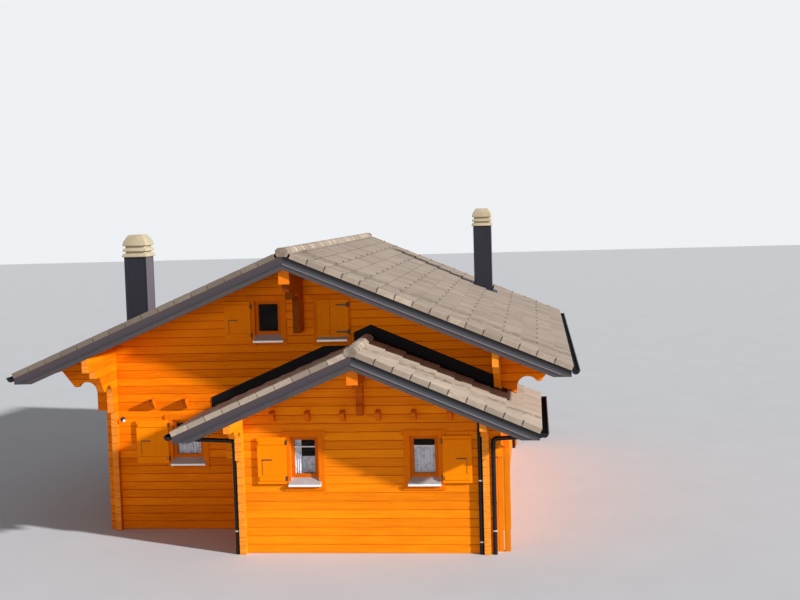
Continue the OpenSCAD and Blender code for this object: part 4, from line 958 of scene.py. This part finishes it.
for gutter_x, pipe_x in ((-1.930, -0.988), (4.690, 3.775)):
    corners = [(gutter_x, 2.3108), (gutter_x, 2.160), (pipe_x, 2.118), (pipe_x, 0.0)]
    pipe_run(WING_PIPE_Y, corners, [1.98, 0.9])
    clamp_band(pipe_x, WING_PIPE_Y, 0.420, AHEAD)
pipe_run(WING_PIPE_Y, [(3.532, 2.640), (3.532, 0.0)], [2.2, 0.9])
clamp_band(3.532, WING_PIPE_Y, 0.215, AHEAD)
clamp_band(3.532, WING_PIPE_Y, 1.345, AHEAD)
for side in (-1, 1):
    corners = np.array([(5.280, 3.2385), (5.280, 3.0935), (3.952, 2.7505), (3.952, 0.0)]) * (side, 1)
    pipe_run(MAIN_PIPE_Y, corners, [2.55, 1.2])
    clamp_band(3.952 * side, MAIN_PIPE_Y, 0.420, -side * RIGHT)
    clamp_band(3.952 * side, MAIN_PIPE_Y, 1.345, -side * RIGHT)
welded(piece("downpipe_runs", pipe_parts, pipe_black, "downpipes"))
welded(piece("pipe_clamps", clamp_parts, bright_metal))

# %% [markdown]
# ## Walls as drawing boards
# Everything on a wall is placed as its maker would, along the wall and up it. The building's own X and Y
# would need other sums on each of the five walls. So each wall gets an origin and two directions, across as
# seen from outside and out of the wall; up is the same for all. One list holds every window.

# %% Walls as drawing boards
WALLS = {
    "front": ((0.0, -4.275, 0.0), RIGHT, -AHEAD),
    "wing": ((0.0, -6.018, 0.0), RIGHT, -AHEAD),
    "rear": ((0.0, 4.275, 0.0), -RIGHT, AHEAD),
    "left": ((-3.9, 0.0, 0.0), -AHEAD, -RIGHT),
    "right": ((3.9, 0.0, 0.0), AHEAD, RIGHT),
}
# Wall, place across, sill height, width, height, shutter width, side of the open shutter (0 is closed)
WINDOWS = [
    ("front", -2.370, 1.450, 0.620, 0.770, 0.650, -1),
    ("front", -0.660, 3.890, 0.520, 0.670, 0.530, -1),
    ("front", 0.620, 3.890, 0.520, 0.670, 0.530, 0),
    ("wing", 0.310, 1.408, 0.520, 0.770, 0.530, -1),
    ("wing", 2.517, 1.408, 0.520, 0.770, 0.530, 1),
    ("rear", -2.300, 1.450, 0.520, 0.770, 0.530, -1),
    ("rear", 2.300, 1.450, 0.520, 0.770, 0.530, 1),
    ("rear", -0.640, 3.890, 0.520, 0.670, 0.530, -1),
    ("rear", 0.640, 3.890, 0.520, 0.670, 0.530, 1),
    ("left", -2.000, 1.450, 0.620, 0.770, 0.650, -1),
    ("left", 1.200, 1.450, 0.620, 0.770, 0.650, -1),
    ("right", 2.000, 1.450, 0.620, 0.770, 0.650, -1),
    ("right", -1.200, 1.450, 0.620, 0.770, 0.650, -1),
]


def on_wall(wall, low, high, bevel=0.003):
    """Blocks on a wall, from (across, up, out) to (across, up, out)."""
    origin, across, out = WALLS[wall]
    return blocks(origin, across, UP, out, low, high, bevel)


def wall_spot(wall, across, up, out):
    """Points given across, up and out of a wall."""
    origin, along, away = WALLS[wall]
    across, up, out = (np.asarray(part)[..., None] for part in (across, up, out))
    return origin + across * along + up * UP + out * away


print("windows:", len(WINDOWS))

# %% [markdown]
# ## Glazing
# The frames stay as they are in the model. Each gets what the solid leaves out: a thin pale bead round the
# pane and, on the ground floor, one glazing bar a quarter of the way down, inside and outside. A finish
# could draw them on the pane, but they stand out of it and cast shadows, so they are slim blocks. The panes
# get a faint wave, because real ones are never quite flat.

# %% Glazing beads and bars
FRAME = 0.055
BEAD = 0.014
bead_wood = board_finish("bead_wood", 2, 0, 0.0, srgb(212, 116, 40), srgb(180, 86, 22))
bar_wood = board_finish("bar_wood", 0, 2, 0.0, srgb(250, 250, 248), srgb(226, 228, 230))
beads = []
bars = []
for wall, x, z, width, height, *_ in WINDOWS:
    left = x - width / 2 + FRAME
    right = x + width / 2 - FRAME
    low = z + FRAME
    high = z + height - FRAME
    bar = z + height * 0.74
    for near, far in ((-0.063, -0.050), (-0.101, -0.0875)):
        beads.append(on_wall(wall, [[left, low, near], [right - BEAD, low, near],
                                    [left + BEAD, low, near], [left + BEAD, high - BEAD, near]],
                             [[left + BEAD, high, far], [right, high, far],
                              [right - BEAD, low + BEAD, far], [right - BEAD, high, far]]))
        if z < 3.0:
            bars.append(on_wall(wall, [left + BEAD, bar - 0.009, near], [right - BEAD, bar + 0.009, far]))
piece("glazing_beads", beads, bead_wood)
piece("glazing_bars", bars, bar_wood)

# %% Panes
glass = Finish("window_pane", Roughness=0.04, IOR=1.5)
wave = glass.cloud(2.2, 2.0)
glass.coat(glass.mix(wave, srgb(20, 22, 26), srgb(60, 62, 66)))
glass.shade("Alpha", 0.07 + wave * 0.06)
glass.bump(wave, 0.002, 0.6)
dress(glass, "ground_floor_glass", "upper_floor_glass")

# %% [markdown]
# ## Curtains
# Lace hangs behind the panes from a thin rod. A curtain is gathered: its cloth is cut a fifth to nearly a
# half wider than it hangs, and it stands in soft waves. The sheet is a grid whose depth is a sine across
# it, growing toward the hem. Its cut width is measured along that wave, so the cloth is neither stretched
# nor thick. A cloth simulation could gather it too, but the formula gives each window its waves at once.

# %% Lace
lace = Finish("curtain_lace", Roughness=0.9)
weave = lace.node("ShaderNodeTexVoronoi", {"feature": "DISTANCE_TO_EDGE"},
                  {"Vector": lace.place, "Scale": 30.0}, "Distance")
solid = lace.clamp01(lace.smooth(lace.cloud(12.0, 2.0), 0.40, 0.50) + lace.smooth(weave, 0.16, 0.05))
lace.coat(lace.mix(solid, srgb(196, 214, 250), srgb(236, 243, 255)))
# Painted shade: the lace behind the right wall's windows, which face the sun, is painted greyer.
lace.coat(srgb(126, 130, 142), (lace.spot[0] > 3.3) * 0.7)
lace.shade("Alpha", 0.66 + solid * 0.34)
lace.bump(solid, 0.0006)


def curtain(name, wall, x, width, top, bottom, back, waves):
    """Point (i, j) lies across by i and down by j; its depth is a sine of i, deeper further down.
    Returns the sheet and its cut width, the length of the wave taken over all heights."""
    i, j = np.meshgrid(np.linspace(0.0, 1.0, waves * 12 + 1), np.linspace(0.0, 1.0, 15), indexing="ij")
    depth = (0.006 + 0.009 * j) * np.sin(i * waves * 2.0 * math.pi + 0.6 * np.sin(i * 9.0))
    points = wall_spot(wall, x + (i - 0.5) * width, top + (bottom - top) * j, depth + back)
    rows, columns = i.shape
    a = (np.arange(rows - 1)[:, None] * columns + np.arange(columns - 1)).ravel()
    faces = np.stack([a, a + columns, a + columns + 1, a + 1], axis=1)
    made = piece(name, [(points.reshape(-1, 3), faces)], lace)
    made.data.shade_smooth()
    steps = np.linalg.norm(np.diff(points, axis=0), axis=2).sum(axis=0)
    return made, float(steps.mean())


# %% Hanging the curtains
# For each window its sheets: the shares of the opening's width and height that a sheet takes up
WHOLE = (0.02, 0.98)
LOW = (WHOLE, (0.02, 0.70))
CAFE = (WHOLE, (0.02, 0.50))
GATHERED = ((0.02, 0.36), (0.03, 0.97))
HUNG = {0: [(WHOLE, (0.02, 0.78))], 3: [GATHERED, (WHOLE, (0.03, 0.48))], 4: [(WHOLE, (0.02, 0.74))]}
HUNG.update({5: [LOW], 6: [LOW], 7: [CAFE], 8: [CAFE], 9: [LOW], 10: [LOW], 11: [LOW], 12: [LOW]})
rod_parts = []
for k, hung in HUNG.items():
    wall, x, z, width, height, *_ = WINDOWS[k]
    for n, ((left, right), (low, high)) in enumerate(hung):
        away = -0.122 - 0.070 * n
        top = z + height * high
        bottom = z + height * low
        centre = x + width * ((left + right) / 2 - 0.5)
        share = right - left
        waves = max(4, round(9 * share))
        name = f"curtain_{k:02d}_{n}"
        made, cut = curtain(name, wall, centre, width * share, top, bottom, away, waves)
        top - bottom
        rod = [wall_spot(wall, x + s * (width / 2 + 0.03), top + 0.004, away) for s in (-1, 1)]
        rod_parts.append(tube(rod, 0.005, UP, 8))
        for end in (x - width / 2 - 0.022, x + width / 2 + 0.022):
            arm = [wall_spot(wall, end, top + 0.004, out) for out in (away - 0.006, -0.118)]
            rod_parts.append(tube(arm, 0.004, UP, 8))
rods = welded(piece("curtain_rods", rod_parts, black_iron))

# %% [markdown]
# ## Shutters
# The shutters are upright boards on two battens. All but one pair stand open with their inner faces out,
# so the battens, a latch bar with its rod and the hinge plates show. The pair right of the ridge is closed,
# and its wide leaf carries two strap hinges. The boards are blocks, because their gaps cast real shadows.

# %% Shutter boards
POST = 0.110
SHUTTER_LAP = 0.030
SHUTTER_BACK = 0.025
SHUTTER_FACE = 0.060
BATTEN_FACE = 0.076
# Where the two closed leaves start beside the window's middle, and their widths
LEAVES = ((-0.288, 0.250), (-0.032, 0.362))


def shutter_blocks(wall, left, low, width, height):
    """Boards about 13 cm wide with small gaps between them, and two battens across them."""
    count = max(2, round(width / 0.13))
    edges = left + np.arange(count + 1) * width / count
    first = [(edge + 0.0003, low, SHUTTER_BACK) for edge in edges[:-1]]
    last = [(edge - 0.0003, low + height, SHUTTER_FACE) for edge in edges[1:]]
    feet = (low + 0.060, low + height - 0.140)
    battens = on_wall(wall, [(left + 0.030, foot, SHUTTER_FACE) for foot in feet],
                      [(left + width - 0.030, foot + 0.080, BATTEN_FACE) for foot in feet], 0.006)
    return [on_wall(wall, first, last, 0.001), battens]


def shutter_left(window):
    """The left edge of an open shutter beside its window."""
    wall, x, z, width, height, shutter, side = window
    reach = width / 2 + POST - SHUTTER_LAP
    return x - reach - shutter if side < 0 else x + reach


shutter_parts = []
for window in WINDOWS:
    wall, x, z, width, height, shutter, side = window
    if side == 0:
        for start, leaf in LEAVES:
            shutter_parts += shutter_blocks(wall, x + start, z - 0.060, leaf, height + 0.060)
    else:
        shutter_parts += shutter_blocks(wall, shutter_left(window), z - 0.100, shutter, height + 0.100)
piece("shutter_boards", shutter_parts, shutter_wood, "shutters")

# %% Shutter ironwork
# How far out of the wall the latch bar and its rod reach, and where the middle of a hinge pin is
LATCH_FACE = 0.072
ROD_FACE = 0.066
PIN_LINE = 0.064


def strap_hinges(wall, edge, low, high):
    """Two straps with a wide foot at a leaf's hinged edge, and the pin that each turns on."""
    parts = []
    for level in (low, high):
        parts.append(on_wall(wall, [[edge - 0.245, level - 0.015, BATTEN_FACE],
                                    [edge - 0.030, level - 0.042, BATTEN_FACE]],
                             [[edge - 0.030, level + 0.015, BATTEN_FACE + 0.007],
                              [edge + 0.010, level + 0.042, BATTEN_FACE + 0.009]], 0.002))
        pin = [wall_spot(wall, edge + 0.012, level + s * 0.048, BATTEN_FACE - 0.006) for s in (-1, 1)]
        parts.append(tube(pin, 0.010, RIGHT, 10))
    return parts


def open_shutter_irons(wall, left, low, width, tall, side):
    """A latch bar with its rod near the free edge, and a plate with its pin at both hinges."""
    inward = -side
    free, hinge = (left, left + width) if side < 0 else (left + width, left)
    middle = low + tall * 0.52
    bar = sorted([free + inward * 0.087, free + inward * 0.279])
    rod = free + inward * 0.091
    parts = [on_wall(wall, [[bar[0], middle - 0.008, SHUTTER_FACE],
                            [rod - 0.003, middle - 0.285, SHUTTER_FACE]],
                     [[bar[1], middle + 0.008, LATCH_FACE], [rod + 0.003, middle, ROD_FACE]], 0.001)]
    for level in (low + 0.100, low + tall - 0.100):
        plate = sorted([hinge - inward * 0.002, hinge + inward * 0.024])
        parts.append(on_wall(wall, [plate[0], level - 0.040, SHUTTER_BACK],
                             [plate[1], level + 0.040, SHUTTER_FACE + 0.014]))
        pin = [wall_spot(wall, hinge + inward * 0.014, level + s * 0.046, PIN_LINE) for s in (-1, 1)]
        parts.append(tube(pin, 0.011, WALLS[wall][1], 10))
    return parts


iron_parts = []
for window in WINDOWS:
    wall, x, z, width, height, shutter, side = window
    if side == 0:
        iron_parts += strap_hinges(wall, x + sum(LEAVES[1]), z + 0.040, z + height - 0.100)
    else:
        left = shutter_left(window)
        iron_parts += open_shutter_irons(wall, left, z - 0.100, shutter, height + 0.100, side)
piece("shutter_ironwork", iron_parts, black_iron, "strap_hinges")

# %% [markdown]
# ## Chimneys
# The shafts are clad in sheet with a folded strip up each corner, painted lighter on the side that faces
# right, as a painted sheen from the sun. Each carries a beige cap in tiers: a flared foot, two flat rings
# with dark slots between them, and a hood that draws in to a flat top. Bevelled cubes could be stacked for
# it. Instead a profile of half widths and heights is carried round a square with soft corners, because one
# list can be read like a drawing.

# %% Chimney finishes
shaft_metal = Finish("shaft_metal", Roughness=0.5, Specular_IOR_Level=0.15)
rain = shaft_metal.cloud(1.5, 3.0, stretch=(14.0, 14.0, 0.7))
shaft_metal.coat(shaft_metal.mix(rain, srgb(30, 30, 38), srgb(42, 42, 52)))
# Painted sheen: the faces that look right are painted lighter, as the sun lights them.
shaft_metal.coat(shaft_metal.mix(rain, srgb(80, 74, 80), srgb(104, 97, 102)), shaft_metal.facing()[0] > 0.8)
dress(shaft_metal, "left_chimney", "right_chimney")
cap_stone = Finish("cap_stone", Roughness=0.85)
cloud = cap_stone.cloud(4.0, 4.0)
sand = cap_stone.cloud(90.0, 3.0, 0.7)
rain = cap_stone.cloud(2.0, 3.0, stretch=(14.0, 14.0, 1.2))
cap_stone.coat(cap_stone.mix(cloud, srgb(148, 135, 110), srgb(188, 174, 146)))
cap_stone.coat(srgb(136, 122, 98), cap_stone.smooth(rain, 0.52, 0.75) * 0.45)
cap_stone.bump(sand * 0.6 + cloud * 0.4, 0.002)

# %% Chimney caps
CORNER = 0.025
# Half the width and the height of each ring of a cap
TIERS = ((0.222, 0.000), (0.262, 0.002), (0.265, 0.016), (0.244, 0.068), (0.238, 0.073), (0.202, 0.075),
         (0.202, 0.112), (0.245, 0.114), (0.249, 0.126), (0.234, 0.170), (0.228, 0.175), (0.202, 0.177),
         (0.202, 0.222), (0.241, 0.224), (0.246, 0.238), (0.230, 0.318), (0.154, 0.432), (0.146, 0.440),
         (0.120, 0.445))
SHAFTS = ((left_shaft, main_left, 5.475), (right_shaft, main_right, 5.795))


def square_turned(centre, base, profile, steps=4):
    """Carries (half width, height) pairs round a rectangle whose corners are quarter circles. The rectangle
    is deeper than it is wide by as much as the shaft, and the profile is closed by points in the middle."""
    half, height = np.pad(np.asarray(profile, float), ((1, 1), (0, 0)), mode="edge").T[:, :, None]
    half[[0, -1]] = 0.0
    half_y = np.where(half > 0.0, half + (SHAFT[1] - SHAFT[0]) / 2.0, 0.0)
    angle = np.linspace(0.0, math.pi / 2.0, steps)
    turns = np.concatenate([angle + k * math.pi / 2.0 for k in range(4)])
    sign_x = np.repeat([1.0, -1.0, -1.0, 1.0], steps)
    sign_y = np.repeat([1.0, 1.0, -1.0, -1.0], steps)
    radius = np.minimum(half, CORNER)
    x = centre[0] + sign_x * np.maximum(half - CORNER, 0.0) + radius * np.cos(turns)
    y = centre[1] + sign_y * np.maximum(half_y - CORNER, 0.0) + radius * np.sin(turns)
    points = np.stack(np.broadcast_arrays(x, y, base + height), axis=-1)
    return points.reshape(-1, 3), grid_faces(len(half), len(turns))


cap_parts = [square_turned(centre, top, TIERS) for centre, slope, top in SHAFTS]
welded(piece("chimney_cap_tiers", cap_parts, cap_stone, "chimney_caps"), sharp=28.0)

# %% Shaft seams and flashings
def corner_strips(centre, across, out, wide, reach, foot, top):
    """Two folded strips at the edges of one side of a shaft; wide is half that side, reach its distance."""
    return blocks((*centre, 0.0), across, UP, out,
                  [[-wide - 0.003, foot, reach - 0.002], [wide - 0.026, foot, reach - 0.002]],
                  [[-wide + 0.026, top, reach + 0.003], [wide + 0.003, top, reach + 0.003]], 0.002)


def strips_round(slope, centre, half_y, wide, below, above, top):
    """Four strips round a shaft, given as (from, to) along the slope below and above it and at its sides;
    wide is how far they reach past it along Y, and top how far they stand up."""
    ends = (below, above, (below[2], above[2]), (below[2], above[2]))
    low_u = (-half_y - wide, -half_y - wide, -half_y - wide, half_y)
    high_u = (half_y + wide, half_y + wide, -half_y, half_y + wide)
    down = abs(centre[0]) / math.cos(slope.fall)
    return slope.blocks(down, [(u, end[0], -0.02) for u, end in zip(low_u, ends)],
                        [(u, end[1], top) for u, end in zip(high_u, ends)], 0.002, centre[1])


seam_parts = []
half_x, half_y = SHAFT[0] / 2, SHAFT[1] / 2
for centre, slope, top in SHAFTS:
    foot = MAIN_RIDGE[1] - math.tan(slope.fall) * (abs(centre[0]) + half_x) - 0.05
    for way in (1, -1):
        seam_parts.append(corner_strips(centre, way * RIGHT, -way * AHEAD, half_x, half_y, foot, top))
    for way in (1, -1):
        seam_parts.append(corner_strips(centre, way * AHEAD, way * RIGHT, half_y, half_x, foot, top))
    long = half_x / math.cos(slope.fall)
    apron = ((-long - 0.14, -long, -long), (long, long + 0.10, long))
    upstand = ((-long - 0.012, -long, -long - 0.012), (long - 0.004, long + 0.012, long + 0.012))
    seam_parts.append(strips_round(slope, centre, half_y, 0.10, *apron, 0.008))
    seam_parts.append(strips_round(slope, centre, half_y, 0.008, *upstand, 0.10))
piece("shaft_seams_and_flashings", seam_parts, shaft_metal)

# %% [markdown]
# ## Small pieces
# A lamp with a white globe hangs at the left corner, a boarded door with a lever handle stands in the rear
# wall, and sheet metal ribs stiffen the flashing where the wing's roof meets the main wall. Round parts are
# turned as on a lathe: a profile of radii and distances is carried round an axis. A Screw modifier could do
# that, but it turns about an object's own axis, and these axes are given in the building's directions.

# %% Wall lamp
def turned(centre, axis, beside, profile, sides=20):
    """Turns (radius, distance) pairs about an axis through centre; beside is any direction square to it."""
    profile = np.asarray(profile, float)
    line = centre + profile[:, 1:] * np.asarray(axis)
    angle = np.arange(sides)[:, None] * 2.0 * math.pi / sides
    ring = np.cos(angle) * np.asarray(beside) + np.sin(angle) * np.cross(axis, beside)
    points = line[:, None, :] + profile[:, :1, None] * ring
    return points.reshape(-1, 3), grid_faces(len(profile), sides)


LAMP_X = -3.690
LAMP_Z = 2.215
GLOBE = 0.028
BACK_OF_LAMP = np.array([-0.80, -0.28, 0.53])
ACROSS_LAMP = np.array([0.330, -0.944, 0.0])
hang = wall_spot("front", LAMP_X + 0.035, LAMP_Z + 0.012, 0.100)
plate = turned(wall_spot("front", LAMP_X, LAMP_Z + 0.035, 0.0), -AHEAD, RIGHT,
               [(0.0, 0.0), (0.042, 0.0), (0.042, 0.006), (0.030, 0.012), (0.0, 0.014)])
bends = [wall_spot("front", LAMP_X, LAMP_Z + 0.035, 0.0), wall_spot("front", LAMP_X, LAMP_Z + 0.045, 0.06),
         hang + BACK_OF_LAMP * 0.055]
arm = tube(rounded(bends, 0.012), 0.008, RIGHT, 12)
shade = turned(hang, BACK_OF_LAMP, ACROSS_LAMP,
               [(0.0, 0.064), (0.014, 0.062), (0.020, 0.052), (0.040, 0.030),
                (0.047, 0.016), (0.044, 0.014), (0.0, 0.018)])
welded(piece("lamp_bracket", [plate, arm, shade], black_iron, "wall_lamp"))
opal = Finish("opal_globe", Roughness=0.25)
opal.coat(opal.mix(opal.cloud(30.0, 2.0), srgb(236, 238, 240), srgb(250, 250, 250)))
bow = np.linspace(-math.pi / 2.0, math.pi / 2.0, 13)
half_circle = np.stack([GLOBE * np.cos(bow), GLOBE * np.sin(bow) - 0.010], axis=1)
globe = turned(hang, BACK_OF_LAMP, ACROSS_LAMP, half_circle)
welded(piece("lamp_globe", [globe], opal))

# %% Rear door
DOOR_FACE = -0.050
RAIL_FACE = -0.036
HANDLE = (0.350, 1.105)
edges = np.linspace(-0.425, 0.425, 7)
door_boards = on_wall("rear", [(edge + 0.001, 0.152, -0.088) for edge in edges[:-1]],
                      [(edge - 0.001, 2.149, DOOR_FACE) for edge in edges[1:]], 0.004)
rails = on_wall("rear", [(-0.420, z, DOOR_FACE) for z in (0.200, 1.050, 1.960)],
                [(0.420, z, RAIL_FACE) for z in (0.330, 1.160, 2.080)], 0.005)
piece("door_boards", [door_boards, rails], shutter_wood, "rear_door")
rose = turned(wall_spot("rear", *HANDLE, RAIL_FACE), AHEAD, RIGHT,
              [(0.0, 0.0), (0.024, 0.0), (0.024, 0.006), (0.012, 0.010), (0.010, 0.040), (0.0, 0.042)])
bends = [wall_spot("rear", *HANDLE, -0.010), wall_spot("rear", *HANDLE, 0.012),
         wall_spot("rear", HANDLE[0] - 0.110, HANDLE[1], 0.012)]
lever = tube(rounded(bends, 0.012), 0.008, UP, 12)
welded(piece("door_handle", [rose, lever], black_iron))

# %% Flashing ribs
rib_parts = []
for slope, reach in ((wing_left, 3.52), (wing_right, 2.86)):
    u = sorted([(WING_BACK + 0.03) * slope.side, (WING_BACK + 0.05) * slope.side])
    rib_parts.append(slope.blocks(reach, [u[0], 0.0, -0.070], [u[1], reach - 0.02, -0.030]))
# The ribs take the flashing's near black, which is partly painted shade.
piece("flashing_ribs", rib_parts, flashing_shade_black)

# %% [markdown]
# ## The floor
# The floor is one wide sheet of pale grey a hair below the building. Blender can add a plane, but four
# corners say plainly how wide and how high it is. It belongs to the stage, so it isn't measured or handed
# on.

# %% The floor
WIDE = 140.0
corners = [(-WIDE, -WIDE, -0.002), (WIDE, -WIDE, -0.002), (WIDE, WIDE, -0.002), (-WIDE, WIDE, -0.002)]
ground = bpy.data.meshes.new("floor")
ground.from_pydata(corners, [], [[0, 1, 2, 3]])
pale = Finish("floor_paper", Roughness=0.9)
pale.coat(pale.mix(pale.cloud(0.6, 4.0), (0.50, 0.51, 0.53, 1.0), (0.56, 0.57, 0.59, 1.0)))
ground.materials.append(pale.material)
floor = bpy.data.objects.new("floor", ground)
scene.collection.objects.link(floor)
print("floor:", 2 * WIDE, "m wide")
